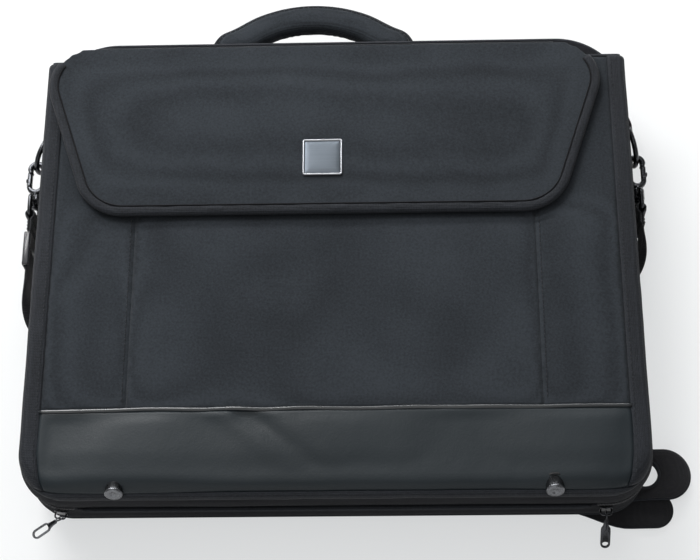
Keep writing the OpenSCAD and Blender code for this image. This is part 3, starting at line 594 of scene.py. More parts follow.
def frontPatch(name, left, right, low, high, material, lift, step=3.0, skirt=1.6, toMouth=False,
               wander=0.0, along=None):
    # a panel between two seams; lift gives its height from its distance to the nearest seam,
    # skirt is how far its edge is sunk, wander how far its line strays
    columns = max(int((right - left) / (along or step)), 2) + 1
    rows = max(int((high - low) / step), 2) + 1
    points = []
    for j in range(-1, rows + 1):
        for i in range(-1, columns + 1):
            a = min(max(i / (columns - 1), 0), 1)
            b = min(max(j / (rows - 1), 0), 1)
            s = left + (right - left) * a
            end = min(high, mouthEdge(s)) if toMouth else high
            t = low + (end - low) * b
            h = lift(s, t, min(s - left, right - s), min(t - low, end - t))
            if i in (-1, columns) or j in (-1, rows):
                h -= skirt
            kink = 1.3 * math.exp(-((s + 66) / 16) ** 2)
            t += lumps(s, 0, 0, 48, wander, 15.0) + wander * kink
            points.append(frontPoint(s, t) + frontNormal(s, t) * h)
    return addMesh(name, points, gridFaces(rows + 2, columns + 2), material, "lid_half")


def pillowLift(s, t, ds, dt):
    # panels swell a little between their seams and dip sharply at them
    swell = 1 - math.exp(-ds / 5.5) * 0.75 - math.exp(-dt / 6.0) * 0.45
    gather = math.sin(t * 0.62 + 1.7 * math.sin(t * 0.13)) * math.exp(-ds / 4.0)
    return 0.35 + (front["pillow"] * max(swell, 0) + front["pucker"] * gather) * underFlap(t, 0.5)


stripEdge = front["half"] - front["strip"]
bandLow = front["bandTop"] + 0.4
panels = (("middlePanel", -front["seam"], front["seam"], "middle_panel"),
          ("sidePanelLeft", -stripEdge, -front["seam"], "side_panels"),
          ("sidePanelRight", front["seam"], stripEdge, "side_panels"))
for name, left, right, node in panels:
    panel = frontPatch(name, left, right, bandLow, front["top"], panelCloth, pillowLift, toMouth=True)
    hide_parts(node)

loopTape = {"x": 70, "half": 30, "low": 43, "high": 63, "thick": 0.75}


def loopLift(s, t, ds, dt):
    under = pillowLift(s, t, 30, 30) + loopTape["thick"]
    return under + 0.35 * smoothStep(min(ds, dt) / 1.2) + lumps(s, t, 0, 9, 0.15, 6.0)


for side, x in (("L", -loopTape["x"]), ("R", loopTape["x"])):
    tape = frontPatch("loopTape" + side, x - loopTape["half"], x + loopTape["half"],
                      loopTape["low"], loopTape["high"], fastenerTape, loopLift, step=1.5)
    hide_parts("flap_loops")

band = {
    "creaseX": -60, "creaseAngle": 1.3, "creaseDepth": 2.1, "creaseFade": 24, "ridge": 1.5,
    "farRidge": 0.7, "wave": 4.2, "ripple": 0.35, "lift": 1.5, "footDrop": 0.8, "least": 0.4,
    "lowEdge": 6.5, "step": 2.4,
}


def bandLift(s, t, ds, dt):
    # coated cloth lies loosely: long shallow waves, and one fold running down from its top seam
    below = front["bandTop"] - t
    loose = smoothStep(below / 9) * smoothStep(ds / 10) * (1 - 0.7 * smoothStep((below - 42) / 12))
    wave = lumps(s, t * 1.3, 0, 70, band["wave"], 11.0) + lumps(s, t * 1.2, 0, 30, band["ripple"], 4.0)
    along = (s - band["creaseX"]) - below * band["creaseAngle"]
    fall = math.exp(-below / band["creaseFade"])
    crease = -band["creaseDepth"] * math.exp(-(along / 8) ** 2) * fall
    ridge = band["ridge"] * math.exp(-((along + 17) / 11) ** 2) * fall
    ridge += band["farRidge"] * math.exp(-((along - 18) / 10) ** 2) * fall
    swell = 0.5 * (1 - math.exp(-dt / 5)) - 0.35 * math.exp(-ds / 3)
    lift = band["lift"] - band["footDrop"] * smoothStep((below - 26) / 14)
    lift += swell + wave * loose + (crease + ridge) * smoothStep(below / 3)
    return max(band["least"], lift)


footBand = frontPatch("footBand", -stripEdge, stripEdge, footEnd + band["lowEdge"], front["bandTop"],
                      coatedBand, bandLift, step=band["step"])
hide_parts("foot_band")

welt = {"below": 1.4, "above": 1.7, "width": 3.0, "bead": 1.6, "base": 1.0, "wander": 1.3, "sunk": 1.8}
weltLow = front["bandTop"] - welt["below"]


def weltLift(s, t, ds, dt):
    # the turned edge along the top of the band: a soft bead that leans towards the handle
    u = (t - weltLow) / welt["width"]
    bead = math.sqrt(max(0, 1 - (u * 2 - 1.05) ** 2)) if 0 < u < 1 else 0
    kink = 0.5 * math.exp(-((s - band["creaseX"] - 2) / 12) ** 2)
    return welt["base"] + welt["bead"] * bead + lumps(s, 0, 0, 30, 0.4, 5.0) + kink


bandWelt = frontPatch("bandWelt", -stripEdge, stripEdge, weltLow, front["bandTop"] + welt["above"],
                      coatedWelt, weltLift, step=0.5, skirt=welt["sunk"], wander=welt["wander"],
                      along=2.4)
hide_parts("band_welt")

binding = {"lift": 1.5, "round": 0.5, "overlap": 0.4, "footWidth": 7.5, "cornerReach": 26}


def tapeLift(s, t, ds, dt):
    edge = binding["round"] * smoothStep(min(ds, dt) / 1.5)
    return binding["lift"] + edge + lumps(s, t, 0, 17, 0.25, 2.0)


stripLow = front["foot"] + front["corner"] - binding["cornerReach"]
stripIn = stripEdge - binding["overlap"]
edges = (("edgeStripLeft", -sideEnd, -stripIn, stripLow, front["top"], 2.2, "edge_strips"),
         ("edgeStripRight", stripIn, sideEnd, stripLow, front["top"], 2.2, "edge_strips"),
         ("footBinding", -sideEnd, sideEnd, footEnd, footEnd + binding["footWidth"], 1.9,
          "foot_binding"))
for name, left, right, low, high, step, node in edges:
    edge = frontPatch(name, left, right, low, high, bindingCloth, tapeLift, step=step)
    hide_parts(node)

# the cloth behind the panels, its lining side and the bound mouth edge
pocket = {"columns": 120, "rows": 90, "mouthIn": 12, "mouthSteps": 200, "mouthRound": 1.7}
backing = []
columns, rows = pocket["columns"], pocket["rows"]
for h in (0.0, -front["thickness"]):
    for j in range(rows + 1):
        for i in range(columns + 1):
            s = -sideEnd + 2 * sideEnd * i / columns
            t = footEnd + (mouthEdge(s) - footEnd) * j / rows
            backing.append(frontPoint(s, t) + frontNormal(s, t) * h)
inside = (rows + 1) * (columns + 1)   # the first point of the lining side
faces = gridFaces(rows + 1, columns + 1) + gridFaces(rows + 1, columns + 1, flip=True, start=inside)
for i in range(columns):
    a, b = rows * (columns + 1) + i, rows * (columns + 1) + i + 1
    faces.append([a, b, inside + b, inside + a])
pocketCloth = addMesh("pocketCloth", backing, faces, gussetShadedCloth, "lid_half")
pocketCloth.data.materials.append(liningCloth)
for poly in pocketCloth.data.polygons:
    if min(poly.vertices) >= inside:
        poly.material_index = 1
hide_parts("pocket_shell")
mouthPath = []
for k in range(pocket["mouthSteps"] + 1):
    s = -sideEnd + pocket["mouthIn"] + (2 * sideEnd - 2 * pocket["mouthIn"]) * k / pocket["mouthSteps"]
    mouthPath.append(frontPoint(s, mouthEdge(s)) + Vector((0, 0.4, -0.6)))
tubeMesh("mouthBinding", mouthPath, pocket["mouthRound"], bindingCloth, "lid_half", sides=8)


seam = {"length": 2.4, "pitch": 3.4, "thick": 0.27, "stripOff": 1.9, "stripLift": 1.95,
        "panelOff": 2.6, "panelLift": 1.15, "steps": 120}


def seamStitches(name, places, lift):
    line = [frontPoint(s, t) + frontNormal(s, t) * lift for s, t in places]
    facing = [frontNormal(s, t) for s, t in places]
    stitchRow(name, line, facing, threadCloth, "lid_half", seam["length"], seam["pitch"], seam["thick"])


for side, sign in (("Left", -1), ("Right", 1)):
    stripX, panelX = sign * (stripEdge + seam["stripOff"]), sign * (front["seam"] + seam["panelOff"])
    steps = seam["steps"]
    outer = [stripLow + 8 + (front["top"] - stripLow - 10) * k / steps for k in range(steps + 1)]
    seamStitches("stripStitches" + side, [(stripX, t) for t in outer], seam["stripLift"])
    panelLength = front["top"] - front["bandTop"] - 10
    inner = [front["bandTop"] + 6 + panelLength * k / steps for k in range(steps + 1)]
    stop = mouthEdge(front["seam"]) - 3
    seamStitches("panelStitches" + side, [(panelX, t) for t in inner if t < stop], seam["panelLift"])
print("front pocket made")


# the two padded halves

halves = {
    "bulge": 1.3, "lumpSize": 55, "lumpDepth": 0.8, "zipTooth": 2.0, "zipStart": 168,
    "wallFoot": 18, "clearAbove": 22, "clearFrom": -105,
    "lidPiping": 1.6, "lidPipingIn": 2.2, "lidPipingAt": 62.6,
    "rearPiping": 1.2, "rearPipingIn": 1.4, "rearPipingAt": 14.2,
}


def softWall(low, high):
    # a wall's own push outward: slightly swollen between its edges, and a little uneven
    def push(x, y, z, nx, ny, inset):
        t = (z - low) / (high - low)
        out = halves["bulge"] * math.sin(math.pi * min(max(t, 0), 1)) if inset < 2 else 0
        fade = smoothStep(min(t, 1 - t) * 5) if 0 < t < 1 else 0
        out += lumps(x, y, z, halves["lumpSize"], halves["lumpDepth"], 4.0) * fade
        return (x + nx * out, y + ny * out, z)
    return push


def rearPush(x, y, z, nx, ny, inset):
    if inset < 1 and z > halves["wallFoot"]:
        px, py, pz = softWall(halves["wallFoot"], case["rearRim"])(x, y, z, nx, ny, 0)
        # the zip sliders run over this part of the wall, so it stays on the solid there
        keep = smoothStep((z - halves["clearAbove"]) / 6) * smoothStep((halves["clearFrom"] - y) / 15)
        return (px + (x - px) * keep, py + (y - py) * keep, pz)
    sag = max(lumps(x, y, 0, 60, 0.9, 9.0), -0.2) if z < 12 else 0.0
    return (x, y, z + max(sag, 0) * 0.6)


rearProfile = [(150, case["back"] - case["crown"]), (125, 3.72), (100, 3.92), (80, 4.25), (62, 4.7),
               (46, 5.3), (32, 6.0), (22, 6.5)]
for step in range(10):   # the rounded edge of the back
    a = step * math.pi / 18
    rearProfile.append((case["backRound"] * (1 - math.sin(a)),
                        case["back"] + case["backRound"] * (1 - math.cos(a))))
wallStart = case["back"] + case["backRound"]
rearProfile += [(0, wallStart + (case["rearRim"] - wallStart) * k / 7) for k in range(1, 8)]
rearProfile += [(0.5, 38.0), (1.6, 38.1), (3.6, 37.9), (4.4, 37.2)]
rearCase = outlineLoft("rearHalf", rearProfile, gussetShadedCloth, "rear_half", rearPush, capFirst=True)
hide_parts("rear_shell")

lidProfile = [(4.4, 42.9), (3.6, 42.2), (1.6, 41.9), (0.5, 42.0), (0, 42.6)]
lidProfile += [(0, 43.5 + 17 * k / 7) for k in range(8)]
for step in range(1, 7):   # its rounded front edge
    a = step * math.pi / 12
    lidProfile.append((3 * (1 - math.cos(a)), case["lidFront"] - 3 + 3 * math.sin(a)))
lidProfile += [(inset, case["lidFront"]) for inset in (6, 12, 30, 70, 120, 150)]
lidCase = outlineLoft("lidHalf", lidProfile, gussetShadedCloth, "lid_half", softWall(43, 62), capLast=True)
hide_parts("lid_shell")

# linings: smooth trays just inside the foam, bound at the rim
rearTray = [(3.9, 37.6), (4.9, 37.0), (5.1, 34), (5.1, 26), (5.2, 20), (6.4, 16.2), (9.5, 14.0),
            (14, 13.6), (40, 13.6), (90, 13.6), (150, 13.6)]
lidTray = [(3.9, 42.4), (4.9, 43.0), (5.1, 46), (5.1, 51), (6.0, 55), (8.6, 57.2), (13, 57.4),
           (40, 57.4), (90, 57.4), (150, 57.4)]


def trayPush(x, y, z, nx, ny, inset):
    out = lumps(x, y, z, 70, 0.5, 6.0) if inset < 8 else 0
    return (x + nx * min(out, 0), y + ny * min(out, 0), z)


rearLining = outlineLoft("rearLining", rearTray, liningCloth, "rear_half", trayPush, capLast=True)
lidLining = outlineLoft("lidLining", lidTray, liningCloth, "lid_half", trayPush, capLast=True)
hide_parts("rear_lining")
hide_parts("lid_lining")


def outlinePath(inset, z, skipHinge=0.0):
    # places round the body with their outward directions
    ring = arcOutline(bodyArcs, inset, 24, (110, 90, 110, 90))
    path = [(Vector((p[0], p[1], z)), Vector((p[2], p[3], 0))) for p in ring]
    if skipHinge:
        # start and end the path at the foot hinge instead of at the first corner
        keep = [k for k, (p, n) in enumerate(path)
                if not (p.y < case["foot"] + 20 and abs(p.x) < skipHinge)]
        first = next(k for k in keep if path[k][0].y < -150 and path[k][0].x >= skipHinge)
        keep = [k for k in keep if k >= first] + [k for k in keep if k < first]
        path = [path[k] for k in keep]
    return path


# a zip tooth from its root outward: depth, half its length along the tape, half its height
toothShape = ((-2.4, 0.42, 0.28), (-0.5, 0.62, 0.46), (0.1, 0.55, 0.40), (0.35, 0.3, 0.2))
toothOff = {"out": -0.4, "fromMiddle": 0.62}


def toothRow(name, z, body, offset):
    # moulded teeth on their cord, each a small bevelled block
    path = outlinePath(toothOff["out"], z, halves["zipStart"])
    points, faces = [], []
    total = runningLength([p for p, n in path])
    for j, t in evenPlaces(total, offset, halves["zipTooth"], total[-1] - 1):
        centre = path[j][0].lerp(path[j + 1][0], t)
        out = path[j][1].lerp(path[j + 1][1], t).normalized()
        along = Vector((-out.y, out.x, 0))
        first = len(points)
        for depth, wide, high in toothShape:
            for ca, cz in ((-1, -1), (1, -1), (1, 1), (-1, 1)):
                points.append(centre + out * depth + along * (ca * wide) + Vector((0, 0, cz * high)))
        faces += gridFaces(4, 4, closed=True, start=first)
        faces.append([first + 12, first + 13, first + 14, first + 15])   # the tooth's tip
    return addMesh(name, points, faces, toothPlastic, body)


rearTeeth = toothRow("rearZipTeeth", case["mouth"] - toothOff["fromMiddle"], "rear_half", 1.0)
lidTeeth = toothRow("lidZipTeeth", case["mouth"] + toothOff["fromMiddle"], "lid_half", 2.0)
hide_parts("rear_teeth")
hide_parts("lid_teeth")


def zipTape(name, lowZ, highZ, body):
    path = outlinePath(0, 0, halves["zipStart"])
    points = []
    section = ((0.1, lowZ), (0.25, (lowZ + highZ) / 2), (0.5, highZ), (2.2, highZ), (2.2, lowZ))
    for p, n in path:
        for inset, z in section:
            points.append((p.x - n.x * inset, p.y - n.y * inset, z))
    faces = gridFaces(len(path), len(section), closed=True)
    return addMesh(name, points, faces, bindingCloth, body)


rearTape = zipTape("rearZipTape", 37.7, 39.0, "rear_half")
lidTape = zipTape("lidZipTape", 42.2, 41.0, "lid_half")
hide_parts("rear_tape")
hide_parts("lid_tape")

# piping sewn into the edge where the front of the lid meets its gusset, and round the back edge
lidSeam = [p + n * 0.2 for p, n in outlinePath(halves["lidPipingIn"], halves["lidPipingAt"])]
tubeMesh("lidPiping", lidSeam, halves["lidPiping"], bindingCloth, "lid_half", sides=10, closed=True)
rearSeam = [p + n * 0.3 for p, n in outlinePath(halves["rearPipingIn"], halves["rearPipingAt"])]
tubeMesh("rearPiping", rearSeam, halves["rearPiping"], bindingCloth, "rear_half", sides=8, closed=True)

hinge = {"y": -162.0, "half": 165, "radius": 1.9, "steps": 60}   # steps from its middle to an end
hingePath, hingeRadius = [], []
for k in range(-hinge["steps"], hinge["steps"] + 1):
    hingePath.append(Vector((k * hinge["half"] / hinge["steps"], hinge["y"], case["mouth"])))
    fromEnd = hinge["steps"] - abs(k)
    hingeRadius.append(hinge["radius"] * min(1.0, 0.55 + 0.15 * fromEnd))
hingeCord = tubeMesh("hingePiping", hingePath, hingeRadius, bindingCloth, "rear_half", sides=14,
                     ups=[Vector((0, 0, 1))] * len(hingePath))
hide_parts("hinge_piping")
print("halves, zip and piping made")


# flap

flap = {
    "seam": 159, "length": 130, "width": 380, "off": 8, "shoulder": 30, "corner": 34, "taper": 18.5,
    "low": 78.75, "thick": 5.4, "voxel": 4.0, "pressure": 4.0, "cap": 1.6, "held": 9.0,
    "bindingStop": 10.5, "furrowIn": 5.9, "grooveShadowRound": 0.65,
}
flapEnd = flap["seam"] - flap["length"]   # y of the flap's lower edge


def flapArcs():
    taper = math.radians(flap["taper"])
    shoulderX = flap["width"] / 2 - flap["shoulder"]
    shoulderY, cornerY = flap["seam"] - flap["shoulder"], flapEnd + flap["corner"]
    reach = shoulderX * math.cos(taper) - shoulderY * math.sin(taper) + flap["shoulder"]
    cornerX = (reach - flap["corner"] + cornerY * math.sin(taper)) / math.cos(taper)
    arcs = [(shoulderX, shoulderY, flap["shoulder"], -flap["taper"], 90),
            (-shoulderX, shoulderY, flap["shoulder"], 90, 180 + flap["taper"]),
            (-cornerX, cornerY, flap["corner"], 180 + flap["taper"], 270),
            (cornerX, cornerY, flap["corner"], 270, 360 - flap["taper"])]
    return [(arc[0] - flap["off"], *arc[1:]) for arc in arcs]


flapOutline = flapArcs()


def inflate(piece, voxel, pressure, cap, held, frames=20):
    # voxel remesh, then a short pressure run with the edge held, then a limit on how far a point went
    bpy.context.view_layer.objects.active = piece
    remesh = piece.modifiers.new("remesh", "REMESH")
    remesh.mode = "VOXEL"
    remesh.voxel_size = voxel / 1000
    remesh.use_smooth_shade = True
    finishes = list(piece.data.materials)
    graph = bpy.context.evaluated_depsgraph_get()
    mesh = bpy.data.meshes.new_from_object(piece.evaluated_get(graph))
    piece.modifiers.clear()
    piece.data = mesh
    mesh.materials.clear()
    for finish in finishes:
        mesh.materials.append(finish)
    start = [v.co.copy() for v in mesh.vertices]
    group = piece.vertex_groups.new(name="held")
    for v in mesh.vertices:
        weight = held(v.co)
        if weight > 0:
            group.add([v.index], min(weight, 1.0), "REPLACE")
    cloth = piece.modifiers.new("cloth", "CLOTH")
    cloth.settings.quality = 5
    cloth.settings.mass = 0.12
    cloth.settings.use_pressure = True
    cloth.settings.uniform_pressure_force = pressure
    cloth.settings.vertex_group_mass = "held"
    cloth.settings.effector_weights.gravity = 0
    cloth.point_cache.frame_start, cloth.point_cache.frame_end = 1, frames
    for number in range(1, frames + 1):
        scene.frame_set(number)
    graph = bpy.context.evaluated_depsgraph_get()
    moved = [v.co.copy() for v in piece.evaluated_get(graph).data.vertices]
    piece.modifiers.clear()
    piece.vertex_groups.clear()
    for v, a, b in zip(mesh.vertices, start, moved):
        step = b - a
        if step.length > cap / 1000:
            step *= cap / 1000 / step.length
        v.co = a + step
    scene.frame_set(1)
    piece.modifiers.new("smooth", "SUBSURF").levels = 1
    piece.modifiers["smooth"].render_levels = 1


def flapRing(inset, z):
    return [(x, y, z) for x, y, nx, ny in arcOutline(flapOutline, inset, 12, (70, 24, 60, 24))]


padLow, padHigh = flap["low"] + 1.9, flap["low"] + flap["thick"]
flapPad = ringStack("flapPad", [
    flapRing(1.2, padLow), flapRing(0.3, padLow + 0.8), flapRing(0.2, padHigh - 0.3),
    flapRing(0.9, padHigh + 0.1), flapRing(4, padHigh + 0.1), flapRing(12, padHigh + 0.1),
    flapRing(30, padHigh + 0.3), flapRing(50, padHigh + 0.45)], panelCloth, "flap")


def flapHeld(co):
    x, y = abs(co.x * 1000 + flap["off"]), co.y * 1000
    beside = (flap["width"] / 2 - x) + (y - flap["seam"]) * 0.26 + 10
    edge = min(y - flapEnd, flap["seam"] - y, beside)
    return 1.0 - smoothStep((edge - flap["held"]) / 16) if co.z * 1000 > padLow + 0.6 else 1.0


inflate(flapPad, flap["voxel"], flap["pressure"], flap["cap"], flapHeld)
for v in flapPad.data.vertices:   # gentle dents that foam keeps, only on the upper face
    x, y, z = v.co.x * 1000, v.co.y * 1000, v.co.z * 1000
    if z > padHigh - 1.5:
        v.co.z += (lumps(x, y, 0, 70, 0.4, 21.0) + lumps(x, y, 0, 28, 0.12, 2.0)) * 0.001
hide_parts("flap_panel")
flapUnder = ringStack("flapLining", [flapRing(1.9, flap["low"] + 0.85), flapRing(1.4, flap["low"] + 1.3),
                                     flapRing(1.9, flap["low"] + 1.85)], liningCloth, "flap")
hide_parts("flap_lining")

# binding folded round the flap's edge, from shoulder to shoulder: inset and height of each fold
bindingFolds = ((5.2, padLow - 0.75), (4.8, padLow - 1.05), (2.8, padLow - 1.15), (0.2, padLow - 0.5),
                (-0.6, padLow + 1.2), (-0.5, padHigh - 1.5), (0.6, padHigh - 0.2),
                (2.6, padHigh + 0.5), (5.0, padHigh + 0.7), (5.5, padHigh - 0.2))
bindingRuns = (70, 34, 90, 34)
edgeRings = [arcOutline(flapOutline, inset, 16, bindingRuns) for inset, z in bindingFolds]
edgeKeep = [k for k, p in enumerate(edgeRings[4]) if p[1] < flap["seam"] - flap["bindingStop"]]
gapAt = next((n for n, (a, b) in enumerate(zip(edgeKeep, edgeKeep[1:])) if b - a > 1), -1)
edgeKeep = edgeKeep[gapAt + 1:] + edgeKeep[:gapAt + 1]
foldRings = []
for n, k in enumerate(edgeKeep):
    fold = []
    for ring, (inset, z) in zip(edgeRings, bindingFolds):
        x, y = ring[k][0], ring[k][1]
        ripple = 0.16 * math.sin(n * 0.9) + lumps(x, y, z, 20, 0.3, 8.0)
        fold.append((x, y, z + (ripple if z > padHigh - 0.5 else 0)))
    foldRings.append(fold)
flapBinding = ringStack("flapBinding", foldRings, bindingCloth, "flap")
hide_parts("flap_binding")

# the binding's seam: a near-black tube laid along it as painted shadow of the furrow, and its stitches
# in the same thread, darkened as painted shade
stitchRing = arcOutline(flapOutline, flap["furrowIn"], 16, bindingRuns)
stitchPath = [Vector((stitchRing[k][0], stitchRing[k][1], padHigh + 0.5)) for k in edgeKeep]
grooveShadowPath = [p - Vector((0, 0, 0.1)) for p in stitchPath]
tubeMesh("flapGrooveShadow", grooveShadowPath, flap["grooveShadowRound"], grooveShadowThread, "flap", sides=6)
stitchRow("flapStitches", stitchPath, [Vector((0, 0, 1))] * len(stitchPath), grooveShadowThread, "flap")

# the cloth that carries the flap's seam up from the lid
bridge = {"half": 160, "low": 64.0, "front": 155.4, "lean": 4.4, "bow": 0.8, "thick": 1.3,
          "turnAt": 0.85, "rows": 16, "columns": 80}
bridgePoints = []
for side in (0, 1):
    for j in range(bridge["rows"] + 1):
        t = j / bridge["rows"]
        bow = math.sin(math.pi * t) * bridge["bow"]
        y = bridge["front"] + bridge["lean"] * t ** 0.8 + bow - side * bridge["thick"]
        z = bridge["low"] + (flap["low"] + 3.2 - bridge["low"]) * t
        past = max(t - bridge["turnAt"], 0)   # its upper end turns in over the flap
        y, z = y - past * 18, z + past * 6
        for i in range(bridge["columns"] + 1):
            x = bridge["half"] * (2 * i / bridge["columns"] - 1) - flap["off"]
            ripple = lumps(x, 0, z, 30, 0.4, 3.3) * (1 - abs(2 * t - 1))
            bridgePoints.append((x, y + ripple, z))
inside = (bridge["rows"] + 1) * (bridge["columns"] + 1)
bridgeFaces = gridFaces(bridge["rows"] + 1, bridge["columns"] + 1, flip=True)
bridgeFaces += gridFaces(bridge["rows"] + 1, bridge["columns"] + 1, start=inside)
flapBridge = addMesh("flapBridge", bridgePoints, bridgeFaces, panelCloth, None)
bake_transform(flapBridge)
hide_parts("flap_strip")

# bare metal badge: a folded silver rim round a brushed plate, a little crowned
badge = {"x": -8, "y": 69, "size": 27, "z": 85.0, "corner": 1.6}


def badgeRing(inset, z):
    h = badge["size"] / 2
    arcs = boxArcs(h, -h, h, badge["corner"], badge["corner"])
    ring = arcOutline(arcs, inset, 6, (6, 6, 6, 6))
    return [(badge["x"] + p[0], badge["y"] + p[1], badge["z"] + z) for p in ring]


badgeRim = ringStack("badgeRim", [
    badgeRing(0, -0.6), badgeRing(0, 0.7), badgeRing(0.15, 1.1), badgeRing(0.5, 1.35),
    badgeRing(0.9, 1.35), badgeRing(1.25, 1.1), badgeRing(1.4, 0.75), badgeRing(1.4, 0.3)],
    silverMetal, "flap")
badgePlate = ringStack("badgePlate", [
    badgeRing(1.38, 0.3), badgeRing(1.38, 0.62), badgeRing(1.9, 0.72), badgeRing(5, 0.8),
    badgeRing(11, 0.84)], badgeMetal, "flap")
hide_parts("badge_rim")
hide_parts("badge_plate")
print("flap made")


# handle

handle = {
    "x": -18, "y": 175.6, "z": 30, "half": 63, "rise": 34, "arc": 87, "start": 9, "width": 10.5,
    "thick": 7.0, "piping": 1.25, "pipingOut": 0.9, "stitchIn": 2.6, "around": 28, "steps": 72,
    "lineSteps": 90,
}


def archPoint(t):
    # t from 0 to 1 along the grip's middle line; gives the place and the angle that it faces outward
    half, start = handle["half"], handle["start"]
    keys = [(-half, start, 180), (-half + 4.5, start + 6, 150)]
    centre = handle["rise"] - handle["arc"]
    for angle in range(126, 53, -12):
        a = math.radians(angle)
        keys.append((handle["arc"] * math.cos(a), centre + handle["arc"] * math.sin(a), angle))
    keys += [(half - 4.5, start + 6, 30), (half, start, 0)]
    spot = t * (len(keys) - 1)
    k = min(int(spot), len(keys) - 2)
    u = spot - k
    p = [keys[max(k - 1, 0)], keys[k], keys[k + 1], keys[min(k + 2, len(keys) - 1)]]
    out = []
    for i in range(3):   # a smooth curve through the keys
        a, b, c, d = (q[i] for q in p)
        out.append(0.5 * (2 * b + (c - a) * u + (2 * a - 5 * b + 4 * c - d) * u * u
                          + (3 * b - a - 3 * c + d) * u ** 3))
    return out


def handlePoint(t, side, up):
    x, y, angle = archPoint(t)
    a = math.radians(angle)
    return Vector((handle["x"] + x + side * math.cos(a), handle["y"] + y + side * math.sin(a),
                   handle["z"] + up))


gripRings = []
for k in range(handle["steps"] + 1):
    t = k / handle["steps"]
    ring = []
    ends = 0.84 + 0.16 * smoothStep(min(t, 1 - t) * 16)
    full = 1.0 + 0.05 * math.sin(math.pi * t)
    for i in range(handle["around"]):
        a = 2 * math.pi * (i + 0.5) / handle["around"]
        c, s = math.cos(a), math.sin(a)
        side = handle["width"] * ends * c * abs(c) ** -0.25
        up = handle["thick"] * ends * full * s * abs(s) ** -0.22
        pinch = math.exp(-((c - 0.93) / 0.07) ** 2)      # the cloth dips where the piping is sewn on
        dent = lumps(t * 150, c * 12, s * 9, 22, 0.55, 5.0)
        wrinkle = 0.22 * math.sin(t * 130 + 3 * math.sin(t * 31)) * max(-c, 0) ** 2
        ring.append(handlePoint(t, side - pinch * 0.7 - wrinkle, up * (1 - 0.04 * pinch) + dent * s))
    gripRings.append(ring)
handleGrip = ringStack("handleGrip", gripRings, panelCloth, "handle")
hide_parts("handle_grip")
steps = handle["lineSteps"]
pipingAt = handle["width"] + handle["pipingOut"]
pipingLine = [handlePoint(k / steps, pipingAt, 0) for k in range(steps + 1)]
handlePiping = tubeMesh("handlePiping", pipingLine, handle["piping"], bindingCloth, "handle", sides=10)
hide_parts("handle_piping")
for face, level in (("Front", 1), ("Back", -1)):   # a stitch line along each face beside the piping
    high, across = level * (handle["thick"] - 0.75), handle["width"] - handle["stitchIn"]
    line = [handlePoint(0.03 + 0.94 * k / steps, across, high) for k in range(steps + 1)]
    stitchRow("handleStitches" + face, line, [Vector((0, 0, level))] * len(line), threadCloth, "handle")

# strap

strap = {
    "width": 25, "thick": 1.5, "z": 23, "ringX": 206.9, "barY": 113, "reach": 22.3,
    "leanRight": 14, "leanLeft": 25, "ringWire": 1.8, "hookGap": 0.9, "hookBar": 3.8,
    "rightFrom": (212.3, 38.8), "rightTo": (150.3, 5), "rightLow": 2.3, "rightTurn": -107.28,
    "leftX": 216.3, "leftTop": 40.2, "leftDrop": 36,
    "leftTo": (150.3, -36), "leftLow": 0.75, "leftTurn": -72.42,
}


def hookPlace(lean):
    # where a snap hook's bar hangs in its leaning ring
    a = math.radians(lean)
    return (strap["ringX"] + strap["reach"] * math.sin(a),
            strap["barY"] - strap["reach"] * math.cos(a)
            + strap["ringWire"] + strap["hookGap"] + strap["hookBar"])


hookRight, hookLeft = hookPlace(strap["leanRight"]), hookPlace(strap["leanLeft"])


def twistRun(start, end, low, turn, steps=40):
    # upright beside the case, then turning flat as it goes under; the same run as the solid's
    frames = []
    for k in range(steps + 1):
        t = k / steps
        s = smoothStep(t / 0.62)
        lean, heading = math.radians(90 * s), math.radians(turn * smoothStep(t))
        sinLean, cosLean = math.sin(lean), math.cos(lean)
        centre = Vector((start[0] + (end[0] - start[0]) * t * t,
                         start[1] + (end[1] - start[1]) * (1 - (1 - t) ** 2),
                         strap["z"] + (low - strap["z"]) * s))
        across = Vector((math.cos(heading) * sinLean, math.sin(heading) * sinLean, cosLean))
        facing = Vector((math.cos(heading) * cosLean, math.sin(heading) * cosLean, -sinLean))
        frames.append((centre, across, facing))
    return frames


def mirrorX(frames):
    return [tuple(Vector((-v.x, v.y, v.z)) for v in frame) for frame in frames]


rightRun = twistRun(strap["rightFrom"], strap["rightTo"], strap["rightLow"], strap["rightTurn"])
strapRight = ribbonMesh("strapRight", rightRun, strap["width"], strap["thick"], strapWeb, "rear_half")
straight = [(Vector((strap["leftX"], strap["leftTop"] - strap["leftDrop"] * k / 12, strap["z"])),
             Vector((0, 0, 1)), Vector((1, 0, 0))) for k in range(12)]
leftFrom = (strap["leftX"], strap["leftTop"] - strap["leftDrop"])
leftRun = straight + twistRun(leftFrom, strap["leftTo"], strap["leftLow"], strap["leftTurn"])
strapLeft = ribbonMesh("strapLeft", mirrorX(leftRun), strap["width"], strap["thick"], strapWeb,
                       "rear_half")
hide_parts("strap_right")
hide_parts("strap_left")


def flatRun(name, a, b, level, steps=30):
    # a run lying flat under the case; level counts the layers of webbing below it
    start, end = Vector((*a, 0)), Vector((*b, 0))
    along = (end - start).normalized()
    across = Vector((-along.y, along.x, 0))
    z = level * 1.55 + strap["thick"] / 2
    line = []
    for k in range(steps + 1):
        p = start.lerp(end, k / steps)
        line.append((Vector((p.x, p.y, z)), across, Vector((0, 0, 1))))
    return ribbonMesh(name, line, strap["width"], strap["thick"], strapWeb, "rear_half")


underRuns = [("A", (-75, 75), (128, -138), 0), ("B", (112, -135), (149.95, -141), 0),
             ("C", (-75, 75), (150, 5), 1), ("D", (-150, -36), (52, -100), 0),
             ("E", (52, -100), (138, -128), 1), ("F", (128, -130), (149.95, -130), 1)]
for letter, a, b, level in underRuns:
    run = flatRun("strapUnder" + letter, a, b, level)
    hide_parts("strap_middle")


